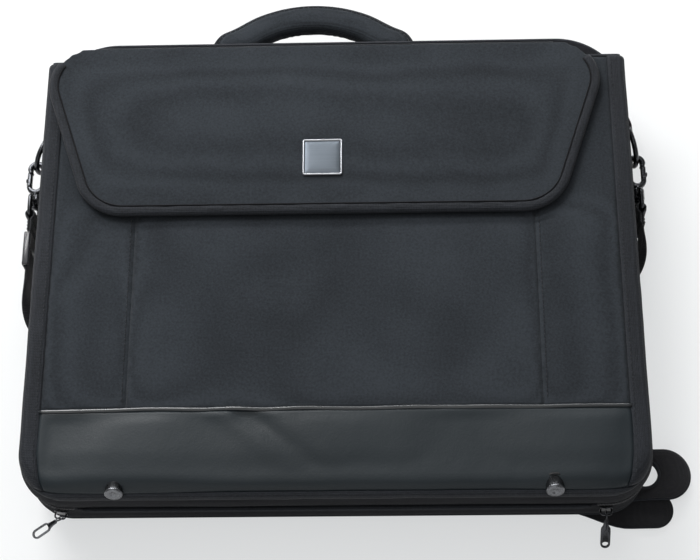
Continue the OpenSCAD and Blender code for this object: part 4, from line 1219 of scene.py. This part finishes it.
webEnd = {"below": 46, "off": 0.8, "end": 12.6, "run": 8.6, "round": 3.05, "thick": 1.45, "steps": 8,
          "boxOut": 1.62, "boxLow": 12.6, "boxHigh": 33.4, "boxFrom": 11.6, "boxTo": 5.4}


def webLoop(name, mirror, spot, body):
    # the sewn end: round the swivel's eye and back on itself, with a box of stitches
    x, y = spot[0], spot[1] - webEnd["below"]
    off, run, steps = webEnd["off"], webEnd["run"], webEnd["steps"]
    path = [(x + off, y - webEnd["end"] + run * k / steps) for k in range(steps + 1)]
    for k in range(1, 16):
        a = math.radians(-50 + 280 * k / 16)
        path.append((x + webEnd["round"] * math.cos(a), y + webEnd["round"] * math.sin(a)))
    path += [(x - off, y - (webEnd["end"] - run) - run * k / steps) for k in range(steps + 1)]
    frames = []
    for k, (px, py) in enumerate(path):
        a, b = path[max(k - 1, 0)], path[min(k + 1, len(path) - 1)]
        along = Vector((b[0] - a[0], b[1] - a[1], 0)).normalized()
        frames.append((Vector((px, py, strap["z"])), Vector((0, 0, 1)), Vector((along.y, -along.x, 0))))
    frames = mirrorX(frames) if mirror else frames
    piece = ribbonMesh(name, frames, strap["width"], webEnd["thick"], strapWeb, body)
    sign = -1 if mirror else 1
    near, far = y - webEnd["boxFrom"], y - webEnd["boxTo"]
    low, high = webEnd["boxLow"], webEnd["boxHigh"]
    for facing, face in (("Out", 1), ("In", -1)):
        out = sign * (x + face * webEnd["boxOut"])
        line = [Vector((out, *corner)) for corner in
                ((near, low), (far, low), (far, high), (near, high), (near, low))]
        stitchRow(name + "Stitches" + facing, line, [Vector((face * sign, 0, 0))] * len(line),
                  threadCloth, body, length=1.9, pitch=2.6, thick=0.26)
    return piece


webLoopRight = webLoop("webLoopRight", False, hookRight, "swivel_right")
webLoopLeft = webLoop("webLoopLeft", True, hookLeft, "swivel_left")
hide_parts("web_loop_right")
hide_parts("web_loop_left")

# shoulder pad: two padded strips that lie folded beside the foot corner

# low and thick: under the case, and out beside it
pads = {"in": 150, "tuckLength": 44, "riseFrom": 14, "riseLength": 22, "sink": 1.6}
upperPad = {"end": 219, "y": -132.5, "round": 16.5, "low": (2.1, 4.3), "thick": (2.4, 7.0), "tuck": 0,
            "hole": (205, -132.5, 9.5), "edge": 0.95, "seamDrop": 0.3, "seamLift": 0}
lowerPad = {"end": 211, "y": -155, "round": 12, "low": (0, 0), "thick": (2.0, 4.2), "tuck": 12,
            "hole": None, "edge": 0.8, "seamDrop": 0.25, "seamLift": 0.1}
eyeletShape = {"out": 0.2, "z": 10.1, "round": 1.0, "steps": 48}


def padRise(x):
    # 0 where the pad is squeezed under the case, 1 where it lies free
    return smoothStep((x - case["halfWidth"] + pads["riseFrom"]) / pads["riseLength"])


def padTuck(pad, x):
    # the pad's hidden start bends in under the case
    return pad["tuck"] * (1 - smoothStep((x - pads["in"]) / pads["tuckLength"]))


def padForm(name, pad, around=40, straight=15, rounds=18):
    # a stuffed strip with a round end; the edge seam is pinched and the top crowns between
    rings = []
    xEnd, r = pad["end"], pad["round"]
    for k in range(straight + rounds + 1):
        cap = k > straight
        t = math.radians(90 * (k - straight) / (rounds + 0.2)) if cap else 0
        x = xEnd + r * math.sin(t) if cap else pads["in"] + (xEnd - pads["in"]) * k / straight
        h = r * math.cos(t) if cap else r
        rise = padRise(x)
        low = pad["low"][0] + (pad["low"][1] - pad["low"][0]) * rise
        full = pad["thick"][0] + (pad["thick"][1] - pad["thick"][0]) * rise
        top = 0.35 + 0.65 * math.sqrt(max(0, 1 - ((x - xEnd) / r) ** 2)) if cap else 1
        ring = []
        for i in range(around):
            a = 2 * math.pi * i / around
            c, s = math.cos(a), math.sin(a)
            y = pad["y"] + padTuck(pad, x) + h * c * (abs(c) + 0.001) ** -0.4
            z = low + full * top / 2 * (1 + s * (abs(s) + 0.001) ** -0.3)
            uneven = lumps(x, y, z, 16, 0.35, 9.0) * max(s, 0)
            sink = 0.0
            if pad["hole"] and s > 0:   # the face dips towards the bound hole
                far = math.hypot(x - pad["hole"][0], y - pad["hole"][1])
                sink = pads["sink"] * math.exp(-(max(far - pad["hole"][2], 0) / 3.0) ** 2)
            ring.append(Vector((x, y, z - sink * rise + uneven)))
        rings.append(ring)
    return ringStack(name, rings, padCloth, "rear_half")


def drillHole(piece, x, y, radius):
    bpy.ops.mesh.primitive_cylinder_add(vertices=48, radius=radius / 1000, depth=0.03,
                                        location=(x / 1000, y / 1000, 0.005))
    cutter = bpy.context.object
    cut = piece.modifiers.new("hole", "BOOLEAN")
    cut.operation, cut.object, cut.solver = "DIFFERENCE", cutter, "EXACT"
    bpy.context.view_layer.update()
    mesh = bpy.data.meshes.new_from_object(piece.evaluated_get(bpy.context.evaluated_depsgraph_get()))
    piece.modifiers.clear()
    piece.data = mesh
    bpy.data.objects.remove(cutter)


padUpper = padForm("padUpper", upperPad)
drillHole(padUpper, *upperPad["hole"])
padLower = padForm("padLower", lowerPad)
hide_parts("pad_upper")
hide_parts("pad_lower")
eyelet, (holeX, holeY, holeRound) = [], upperPad["hole"]
for k in range(eyeletShape["steps"]):
    a, r = 2 * math.pi * k / eyeletShape["steps"], holeRound + eyeletShape["out"]
    eyelet.append(Vector((holeX + r * math.cos(a), holeY + r * math.sin(a), eyeletShape["z"])))
tubeMesh("padHoleBinding", eyelet, eyeletShape["round"], bindingCloth, "rear_half", sides=8,
         closed=True)


def seamHeight(pad, x):
    rise, past = padRise(x), min(max((x - pad["end"]) / pad["round"], 0), 1)
    low = pad["low"][0] + (pad["low"][1] - pad["low"][0]) * rise
    full = pad["thick"][0] + (pad["thick"][1] - pad["thick"][0]) * rise
    return low + full * (0.5 - pad["seamDrop"] * past) + pad["seamLift"]


def padEdge(name, pad, straight=12, rounds=24):
    # the bound seam round a pad's outline
    line = []
    xEnd, y, out = pad["end"], pad["y"], pad["round"] + 0.1
    for k in range(straight):
        x = pads["in"] + (xEnd - pads["in"]) * k / straight
        line.append(Vector((x, y + padTuck(pad, x) + out, seamHeight(pad, x))))
    for k in range(rounds + 1):
        a = math.radians(90 - 180 * k / rounds)
        z = seamHeight(pad, xEnd + pad["round"] * math.cos(a))
        line.append(Vector((xEnd + out * math.cos(a), y + out * math.sin(a), z)))
    for k in range(1, straight + 1):
        x = xEnd + (pads["in"] - xEnd) * k / straight
        line.append(Vector((x, y + padTuck(pad, x) - out, seamHeight(pad, x))))
    tubeMesh(name, line, pad["edge"], bindingCloth, "rear_half", sides=8)


padEdge("padUpperEdge", upperPad)
padEdge("padLowerEdge", lowerPad)
print("handle, strap and pads made")


# fittings: rounded metal over the solids' own places

hookShape = {"width": 13.4, "length": 26, "thick": 6.4, "noseSteps": 32, "backSteps": 9,
             "heelSteps": 24, "around": 14}
gateShape = {"low": 19, "high": 8.9, "half": 1.7, "deep": 2.2, "soft": 0.9,
             "thumbFrom": 16.5, "thumbTo": 13.5, "thumbIn": 1.0, "thumbOut": 2.7, "thumbDeep": 1.4}
swivelLoop = {"half": 14.9, "top": -32.2, "foot": -46, "corner": 3.2, "wire": 1.65}
dRing = {"half": 14.3, "flat": 8, "corner": 0.9}
ringTab = {"width": 23, "thick": 1.35, "length": 24, "out": 2.55, "in": 2.75, "round": 2.85,
           "squeeze": 2.4, "boxLow": 14, "boxHigh": 32, "boxFrom": 14, "boxTo": 24}


def sideSign(mirror):
    return -1 if mirror else 1


def onSide(mirror, points):
    return [Vector((sideSign(mirror) * p[0], p[1], p[2])) for p in points]


def snapHook(name, spot, mirror):
    # one cast body: a flattened oval ring with a nose, then the stem that the swivel turns on
    x0, y0 = spot
    bar = strap["hookBar"]
    w = hookShape["width"] / 2 - bar / 2
    top, low = -bar / 2 - w, -(hookShape["length"] - bar / 2 - w)
    nose, straight, heel = hookShape["noseSteps"], hookShape["backSteps"], hookShape["heelSteps"]
    ring = []
    for k in range(nose + 1):
        a = math.radians(-35 + 215 * k / nose)
        ring.append((w * math.cos(a), top + w * math.sin(a)))
    for k in range(1, straight):
        ring.append((-w, top + (low - top) * k / straight))
    for k in range(heel + 1):
        a = math.radians(180 + 172 * k / heel)
        ring.append((w * math.cos(a), low + w * math.sin(a)))
    points, n = [], hookShape["around"]
    last = len(ring) - 1
    for k, (px, py) in enumerate(ring):
        a, b = ring[max(k - 1, 0)], ring[min(k + 1, last)]
        along = Vector((b[0] - a[0], b[1] - a[1], 0)).normalized()
        out = Vector((along.y, -along.x, 0))
        wide = bar / 2 * (0.82 if k < 5 else 1.0)          # the nose is a little slimmer
        high = hookShape["thick"] / 2 * (0.86 if k > 40 else 1.0)   # and the heel a little flatter
        for i in range(n):
            t = 2 * math.pi * i / n
            c, s = math.cos(t), math.sin(t)
            side, up = wide * c * (abs(c) + 0.001) ** -0.35, high * s * (abs(s) + 0.001) ** -0.35
            p = Vector((px, py, 0)) + out * side + Vector((0, 0, up))
            points.append((sideSign(mirror) * (x0 + p.x), y0 + p.y, strap["z"] + p.z))
    faces = gridFaces(len(ring), n, closed=True, flip=mirror) + endCaps(n, len(points))
    piece = addMesh(name, points, faces, hardwareMetal, "rear_half")
    lathe(name + "Stem", stemShape, (x0, y0), mirror, "rear_half")
    for face, boss in (("Front", 1), ("Back", -1)):
        lathe(name + "Rivet" + face, [(1.5, 2.6 * boss), (1.5, 3.25 * boss), (0.9, 3.45 * boss)],
              (x0 + w, y0 - gateShape["low"]), mirror, "rear_half", axis="Z")
    return piece


# turned shapes: radius, and place along the axis from the hook's eye
stemShape = [(3.0, -25.2), (2.6, -26.2), (2.0, -26.8), (2.0, -35.5), (3.2, -35.6), (3.2, -36.7),
             (2.4, -37.0)]
collarShape = [(3.2, -35.2), (4.2, -34.8), (4.4, -34.2), (4.4, -27.6), (4.2, -27.0), (3.0, -26.6)]
collarRidges = {"count": 18, "depth": 0.35}


def lathe(name, profile, spot, mirror, body, axis="Y", sides=28, ridges=0, depth=0.0):
    rings = []
    sides = ridges * 4 if ridges else sides
    for r, h in profile:
        ring = []
        for i in range(sides):
            a = 2 * math.pi * i / sides
            radius = r - (depth if ridges and i % 4 < 2 else 0)
            out, up = radius * math.cos(a), radius * math.sin(a)
            if axis == "Y":
                x, y, z = spot[0] + out, spot[1] + h, strap["z"] + up
            else:
                x, y, z = spot[0] + out, spot[1] + up, strap["z"] + h
            ring.append((sideSign(mirror) * x, y, z))
        rings.append(ring)
    return ringStack(name, rings, hardwareMetal, body)


def roundedBlock(name, low, high, soft, material, body, transform):
    # a box whose corners are rounded by soft, made from rings
    rings = []
    cx, cy = (low[0] + high[0]) / 2, (low[1] + high[1]) / 2
    hx, hy = (high[0] - low[0]) / 2, (high[1] - low[1]) / 2
    arcs = [(hx - soft, hy - soft, soft, 0, 90), (soft - hx, hy - soft, soft, 90, 180),
            (soft - hx, soft - hy, soft, 180, 270), (hx - soft, soft - hy, soft, 270, 360)]
    heights = [(low[2], soft), (low[2] + soft * 0.3, soft * 0.3), (low[2] + soft, 0),
               (high[2] - soft, 0), (high[2] - soft * 0.3, soft * 0.3), (high[2], soft)]
    for z, inset in heights:
        outline = arcOutline(arcs, min(inset, soft * 0.95), 5, (3, 3, 3, 3))
        rings.append([transform(Vector((cx + p[0], cy + p[1], z))) for p in outline])
    return ringStack(name, rings, material, body)


def toRight(v):
    return Vector((v.x, v.y, v.z))


def toLeft(v):
    return Vector((-v.x, v.y, v.z))


for side, mirror, spot, lean in (("Right", False, hookRight, strap["leanRight"]),
                                 ("Left", True, hookLeft, strap["leanLeft"])):
    end = "_" + side.lower()
    sign, toSide = sideSign(mirror), toLeft if mirror else toRight
    hook = snapHook("snapHook" + side, spot, mirror)
    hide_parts("hook" + end)
    gateX = spot[0] + hookShape["width"] / 2 - strap["hookBar"] / 2
    deep, thumbDeep = gateShape["deep"], gateShape["thumbDeep"]
    gate = roundedBlock("gate" + side, (gateX - gateShape["half"],
                                        spot[1] - gateShape["low"] - 1.9, strap["z"] - deep),
                        (gateX + gateShape["half"], spot[1] - gateShape["high"], strap["z"] + deep),
                        gateShape["soft"], hardwareMetal, "gate" + end, toSide)
    roundedBlock("gateThumb" + side, (gateX + gateShape["thumbIn"],
                                      spot[1] - gateShape["thumbFrom"], strap["z"] - thumbDeep),
                 (gateX + gateShape["thumbOut"], spot[1] - gateShape["thumbTo"],
                  strap["z"] + thumbDeep), 0.7, hardwareMetal, "gate" + end, toSide)
    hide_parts("gate" + end)
    # swivel: a knurled collar, then a square loop of wire for the webbing
    collar = lathe("swivelCollar" + side, collarShape, spot, mirror, "swivel" + end,
                   ridges=collarRidges["count"], depth=collarRidges["depth"])
    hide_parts("swivel" + end)
    corner, half = swivelLoop["corner"], swivelLoop["half"]
    upper, lower = swivelLoop["top"] - corner, swivelLoop["foot"] + corner
    loop = []
    for cz, cy, first in ((half - corner, upper, 0), (corner - half, upper, 90),
                          (corner - half, lower, 180), (half - corner, lower, 270)):
        for k in range(8):
            a = math.radians(first + 90 * k / 7)
            loop.append((spot[0], spot[1] + cy + corner * math.sin(a),
                         strap["z"] + cz + corner * math.cos(a)))
    tubeMesh("swivelLoop" + side, onSide(mirror, loop), swivelLoop["wire"], hardwareMetal,
             "swivel" + end, closed=True, ups=[Vector((1, 0, 0))] * len(loop))
    # D-ring: wire, straight behind and round in front
    a = math.radians(lean)
    wide, flat, nick = dRing["half"], dRing["flat"], dRing["corner"]
    wirePath = [(0, nick - wide), (nick, -wide), (flat / 2, -wide)]
    for k in range(25):
        t = math.radians(-90 + 180 * k / 24)
        wirePath.append((flat + wide * math.cos(t), wide * math.sin(t)))
    wirePath += [(flat / 2, wide), (nick, wide), (0, wide - nick)]
    wirePath += [(0, (wide - nick) * (1 - k / 4)) for k in range(1, 8)]
    path = onSide(mirror, [(strap["ringX"] + out * math.sin(a), strap["barY"] - out * math.cos(a),
                            strap["z"] + z) for out, z in wirePath])
    ring = tubeMesh("dRing" + side, path, strap["ringWire"], hardwareMetal, "ring" + end, sides=14,
                    closed=True, ups=[Vector((math.cos(a) * sign, math.sin(a), 0))] * len(path))
    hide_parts("ring" + end)
    # the webbing tab sewn to the side that holds the ring's bar: down outside, round and up inside
    tab, longRun = [], ringTab["length"]
    for k in range(12):
        tab.append((strap["ringX"] + ringTab["out"],
                    strap["barY"] + 1.8 + longRun - longRun * k / 11, True))
    for k in range(1, 12):
        t = math.radians(-180 * k / 12)
        tab.append((strap["ringX"] + ringTab["round"] * math.cos(t),
                    strap["barY"] + ringTab["round"] * math.sin(t), False))
    for k in range(12):
        tab.append((strap["ringX"] - ringTab["in"], strap["barY"] + 1.8 + longRun * k / 11, False))
    frames = []
    for k, (px, py, outside) in enumerate(tab):
        b, c = tab[max(k - 1, 0)], tab[min(k + 1, len(tab) - 1)]
        along = Vector((c[0] - b[0], c[1] - b[1], 0)).normalized()
        near = ringTab["squeeze"] * smoothStep((py - strap["barY"] - 3) / 10) if outside else 0
        frames.append((Vector((px - near, py, strap["z"])), Vector((0, 0, 1)),
                       Vector((along.y, -along.x, 0))))
    frames = mirrorX(frames) if mirror else frames
    sewnTab = ribbonMesh("ringTab" + side, frames, ringTab["width"], ringTab["thick"], strapWeb,
                         "rear_half")
    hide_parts("ring_tab" + end)
    face = strap["ringX"] - ringTab["squeeze"] + ringTab["out"] + 0.75
    near, far = strap["barY"] + ringTab["boxFrom"], strap["barY"] + ringTab["boxTo"]
    low, high = ringTab["boxLow"], ringTab["boxHigh"]
    box = onSide(mirror, [(face, y, z) for y, z in ((near, low), (far, low), (far, high), (near, high),
                                                    (near, low), (far, high))])
    stitchRow("ringTabStitches" + side, box, [Vector((sign, 0, 0))] * len(box), threadCloth,
              "rear_half", 2.0, 2.8, 0.28)

# strap slide: two rails and three bars, all with soft edges
slide = {"x": hookLeft[0], "y": strap["leftTop"] - 2, "length": 25, "half": 2.4, "rail": 2.9,
         "railLow": 7.4, "railHigh": 35.9, "bar": 3.2, "barThick": 1.4, "barLow": 8.2, "barHigh": 37.8,
         "front": 1.05, "back": -2.45}
slideFoot = slide["y"] - slide["length"]
for level, z in (("Low", slide["railLow"]), ("High", slide["railHigh"])):
    roundedBlock("slideRail" + level, (slide["x"] - slide["half"], slideFoot, z),
                              (slide["x"] + slide["half"], slide["y"], z + slide["rail"]),
                              1.0, slidePlastic, "strap_slide", toLeft)
for letter, y, face in (("A", slideFoot, "front"), ("B", slide["y"] - slide["bar"], "front"),
                        ("C", slide["y"] - 14.1, "back")):
    x = slide["x"] + slide[face]
    roundedBlock("slideBar" + letter, (x, y, slide["barLow"]),
                 (x + slide["barThick"], y + slide["bar"], slide["barHigh"]),
                 0.55, slidePlastic, "strap_slide", toLeft)
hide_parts("strap_slide")

# feet: turned studs with a domed, dimpled end in a pressed ring
footAt = {"x": 139, "y": -153.5, "z": 72.4, "lean": 20}


def stud(name, x, profile, material, sides=48):
    a = math.radians(footAt["lean"])
    axis = Vector((0, -math.cos(a), math.sin(a)))
    up = Vector((0, math.sin(a), math.cos(a)))
    side = Vector((1, 0, 0))
    seat = Vector((x, footAt["y"], footAt["z"]))
    rings = []
    turns = [2 * math.pi * i / sides for i in range(sides)]
    for r, h in profile:
        rings.append([seat + axis * h + side * (r * math.cos(t)) + up * (r * math.sin(t))
                      for t in turns])
    return ringStack(name, rings, material, "lid_half")


# radius, and height above the seat
studShape = [(5.75, 0.6), (5.75, 7.0), (5.95, 7.3), (6.0, 7.9), (5.7, 8.6), (4.9, 9.0), (3.6, 9.05),
             (2.6, 8.9), (1.8, 8.3), (1.2, 8.1), (0.3, 8.1)]
washerShape = [(6.9, -0.9), (6.9, 0.0), (6.5, 0.3), (6.1, 0.1), (5.8, -0.6)]
for side, x in (("Left", -footAt["x"]), ("Right", footAt["x"])):
    # the collar's near-black colour is partly painted shade of the recess round the stud
    stud("footCollar" + side, x, washerShape, recessShadeRubber)
    foot = stud("footStud" + side, x, studShape, workedMetal)
    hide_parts("front_feet")

# zip sliders and their pulls
zipRun = {"x": 175, "y": -133, "radius": 28.7, "low": 29.7, "columns": 17, "halfAngle": 8,
          "waist": 0.14, "bridgeOut": 4.9, "middle": 4, "bridgeWire": 0.55}
# degrees round the corner, the pull's own turn and droop, its length and its opening
zipEnds = {
    "Left": {"turn": 10, "pullTurn": 50, "droop": 16, "length": 19, "hole": 8},
    "Right": {"turn": 0, "pullTurn": 0, "droop": 45, "length": 22, "hole": 0.5},
}
pullShape = {"width": 6.4, "thick": 1.4, "wall": 1.25, "chamfer": 0.2, "edge": 0.25, "endSteps": 12,
             "link": 2.6, "linkWire": 0.5, "linkSteps": 28}


def onCorner(turn, mirror):
    a = math.radians(turn)

    def move(v):
        p = Vector((v.x, v.y - zipRun["radius"], v.z))
        x = zipRun["x"] + p.x * math.cos(a) - p.y * math.sin(a)
        y = zipRun["y"] + p.x * math.sin(a) + p.y * math.cos(a)
        return Vector((sideSign(mirror) * x, y, zipRun["low"] + p.z))
    return move


def zipSlider(side, mirror):
    move = onCorner(zipEnds[side]["turn"], mirror)
    body = "slider_" + side.lower()
    columns, middle, points = zipRun["columns"], zipRun["middle"], []
    for inset, z in ((0.5, 0.0), (0.0, 0.5), (0.0, 7.5), (0.5, 8.0)):
        for depth in (-0.55, -1.4):
            for k in range(columns):
                share = k / (columns - 1) * 2 - 1
                waist = 1 - zipRun["waist"] * math.cos(share * math.pi / 2)
                a = share * math.radians(zipRun["halfAngle"]) * (1 - inset * 0.12)
                r = zipRun["radius"] - depth
                high = middle + (z - middle) * waist
                points.append(move(Vector((r * math.sin(a), zipRun["radius"] - r * math.cos(a), high))))
    order = [0, 2, 4, 6, 7, 5, 3, 1]   # up the outer rows and down the inner ones
    rows = len(order)
    flat = [p for o in order for p in points[o * columns:(o + 1) * columns]]
    faces = gridFaces(rows, columns)
    faces += [[(rows - 1) * columns + k, (rows - 1) * columns + k + 1, k + 1, k]
              for k in range(columns - 1)]
    faces.append([j * columns for j in range(rows)])
    faces.append([j * columns + columns - 1 for j in range(rows)][::-1])
    plate = addMesh("zipSlider" + side, flat, faces, hardwareMetal, body)
    arch = [Vector((x, y, middle)) for x, y in
            ((-3.5, -1.0), (-3.5, -3.2), (-3.2, -4.3), (-2.3, -4.85), (0, -4.95),
             (2.3, -4.85), (3.2, -4.3), (3.5, -3.2), (3.5, -1.0))]
    tubeMesh("sliderBridge" + side, [move(p) for p in arch], zipRun["bridgeWire"], hardwareMetal,
             body, sides=10, ups=[Vector((0, 0, 1))] * len(arch))
    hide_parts(body)


def zipPull(side, mirror, material):
    own = zipEnds[side]
    outer = onCorner(own["turn"], mirror)
    a, d = math.radians(own["pullTurn"]), math.radians(own["droop"])
    body = "pull_" + side.lower()

    def aside(x, y, z):
        # the pull's turn about Z at the bridge's bar
        px, py = x * math.cos(a) - y * math.sin(a), x * math.sin(a) + y * math.cos(a)
        return outer(Vector((px, py - zipRun["bridgeOut"], z + zipRun["middle"])))

    def hang(v):
        # its droop about X comes first
        y, z = v.y * math.cos(d) - v.z * math.sin(d), v.y * math.sin(d) + v.z * math.cos(d)
        return aside(v.x, y, z)

    size, n = pullShape["link"], pullShape["linkSteps"]
    turns = [2 * math.pi * k / n for k in range(n)]
    circle = [Vector((0, size * math.cos(t), size * math.sin(t))) for t in turns]
    link = [aside(*v) for v in circle]
    across = (aside(1, 0, 0) - aside(0, 0, 0)).normalized()
    tubeMesh("pullLink" + side, link, pullShape["linkWire"], material, body, sides=8, closed=True,
             ups=[across] * n)

    half, thick, n = pullShape["width"] / 2, pullShape["thick"], pullShape["endSteps"]
    endY = half - own["length"]   # the middle of the round end
    endTurns = [math.radians(180 + 180 * k / n) for k in range(n + 1)]
    outline = [(half * math.cos(t), endY + half * math.sin(t)) for t in endTurns]
    neck = [(half, -9.5), (half - 0.2, -7.2), (1.9, -5.4), (1.45, -3.6), (1.3, -0.6), (0.7, -0.1)]
    outline += neck + [(-x, y) for x, y in neck[::-1]]
    m, r = len(outline), half - pullShape["wall"]
    inner = [(r * math.cos(t), endY + r * math.sin(t)) for t in endTurns]
    for k in range(n + 1, m):
        b = math.radians(180 * (k - n) / (m - n))
        inner.append((r * math.cos(b), endY + own["hole"] + r * 0.6 * math.sin(b)))
    points, cy = [], -own["length"] / 2
    chamfer, edge = pullShape["chamfer"], pullShape["edge"]
    layers = ((inner, -thick / 2, 0), (outline, -thick / 2, chamfer), (outline, edge - thick / 2, 0),
              (outline, thick / 2 - edge, 0), (outline, thick / 2, chamfer), (inner, thick / 2, 0))
    for ring, z, less in layers:
        scaleX, scaleY = 1 - less / half, 1 - less / (own["length"] / 2)
        for x, y in ring:
            points.append(hang(Vector((x * scaleX, cy - size + (y - cy) * scaleY, z))))
    faces = gridFaces(len(layers), m, closed=True, flip=mirror)
    last = (len(layers) - 1) * m
    faces += [[last + k, last + (k + 1) % m, (k + 1) % m, k] for k in range(m)]
    tab = addMesh("zipPull" + side, points, faces, material, body)
    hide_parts(body)


zipSlider("Left", True)
zipSlider("Right", False)
zipPull("Left", True, workedMetal)
zipPull("Right", False, hardwareMetal)
print("fittings made")


# floor, light and camera

studio = {
    "camera": (0.04158, -0.43432, 1.0833), "turn": (22.481, 1.781, -0.011), "lens": 84.857,
    "floorShade": 0.86, "floorSeen": 0.34, "floorGlow": 0.58, "glowTint": (0.97, 0.99, 1),
    "worldShade": 0.95, "ambient": 0.27, "aim": (0, 0, 0.05),
}

bpy.ops.mesh.primitive_plane_add(size=8)
floor = bpy.context.object
floor.name = "floor"
floorPaint, floorShader = newMaterial("paleFloor", (studio["floorShade"],) * 3, 0.9, specular=0.1)
floor.data.materials.append(floorPaint)
# seen straight from the camera the floor goes up to white, but it keeps its shadow
tree = floorPaint.node_tree
glow = tree.nodes.new("ShaderNodeEmission")
glow.inputs["Color"].default_value = (*studio["glowTint"], 1)
glow.inputs["Strength"].default_value = studio["floorGlow"]
joined = tree.nodes.new("ShaderNodeAddShader")
faint = tree.nodes.new("ShaderNodeBsdfDiffuse")
faint.inputs["Color"].default_value = (*(studio["floorSeen"],) * 3, 1)
seen = tree.nodes.new("ShaderNodeLightPath")
choice = tree.nodes.new("ShaderNodeMixShader")
tree.links.new(faint.outputs[0], joined.inputs[0])
tree.links.new(glow.outputs[0], joined.inputs[1])
tree.links.new(seen.outputs["Is Camera Ray"], choice.inputs[0])
tree.links.new(floorShader.outputs[0], choice.inputs[1])
tree.links.new(joined.outputs[0], choice.inputs[2])
tree.links.new(choice.outputs[0], tree.nodes["Material Output"].inputs["Surface"])

world = bpy.data.worlds.new("studio")
world.use_nodes = True
scene.world = world
air = world.node_tree
sky = air.nodes["Background"]
sky.inputs["Color"].default_value = (1, 1, 1, 1)
sky.inputs["Strength"].default_value = studio["ambient"]
plain = air.nodes.new("ShaderNodeBackground")
plain.inputs["Color"].default_value = (1, 1, 1, 1)
plain.inputs["Strength"].default_value = studio["worldShade"]
pick = air.nodes.new("ShaderNodeMixShader")
path = air.nodes.new("ShaderNodeLightPath")
air.links.new(path.outputs["Is Camera Ray"], pick.inputs[0])
air.links.new(sky.outputs[0], pick.inputs[1])
air.links.new(plain.outputs[0], pick.inputs[2])
air.links.new(pick.outputs[0], air.nodes["World Output"].inputs["Surface"])


def addLight(name, size, energy, location, height=None):
    lamp = bpy.data.lights.new(name, "AREA")
    lamp.shape = "RECTANGLE"
    lamp.size, lamp.size_y = size, height or size
    lamp.energy = energy
    holder = bpy.data.objects.new(name, lamp)
    scene.collection.objects.link(holder)
    holder.location = location
    aim = Vector(studio["aim"]) - Vector(location)
    holder.rotation_euler = aim.to_track_quat("-Z", "Y").to_euler()


addLight("keyHandleSide", 0.9, 24, (-0.65, 1.1, 1.65), height=0.5)
addLight("softAbove", 1.6, 8, (-0.3, 0.1, 2.0))
addLight("fillFront", 1.4, 5, (-0.3, -1.5, 0.7))
addLight("glint", 2.4, 26, (-0.3, 1.2, 0.8), height=0.12)

cameraData = bpy.data.cameras.new("photoView")
camera = bpy.data.objects.new("photoView", cameraData)
scene.collection.objects.link(camera)
camera.location = studio["camera"]
camera.rotation_euler = [math.radians(a) for a in studio["turn"]]
cameraData.lens = studio["lens"]
cameraData.sensor_width = 36
cameraData.clip_start, cameraData.clip_end = 0.05, 30
scene.camera = camera
scene.view_settings.view_transform = "Standard"

print("scene ready")
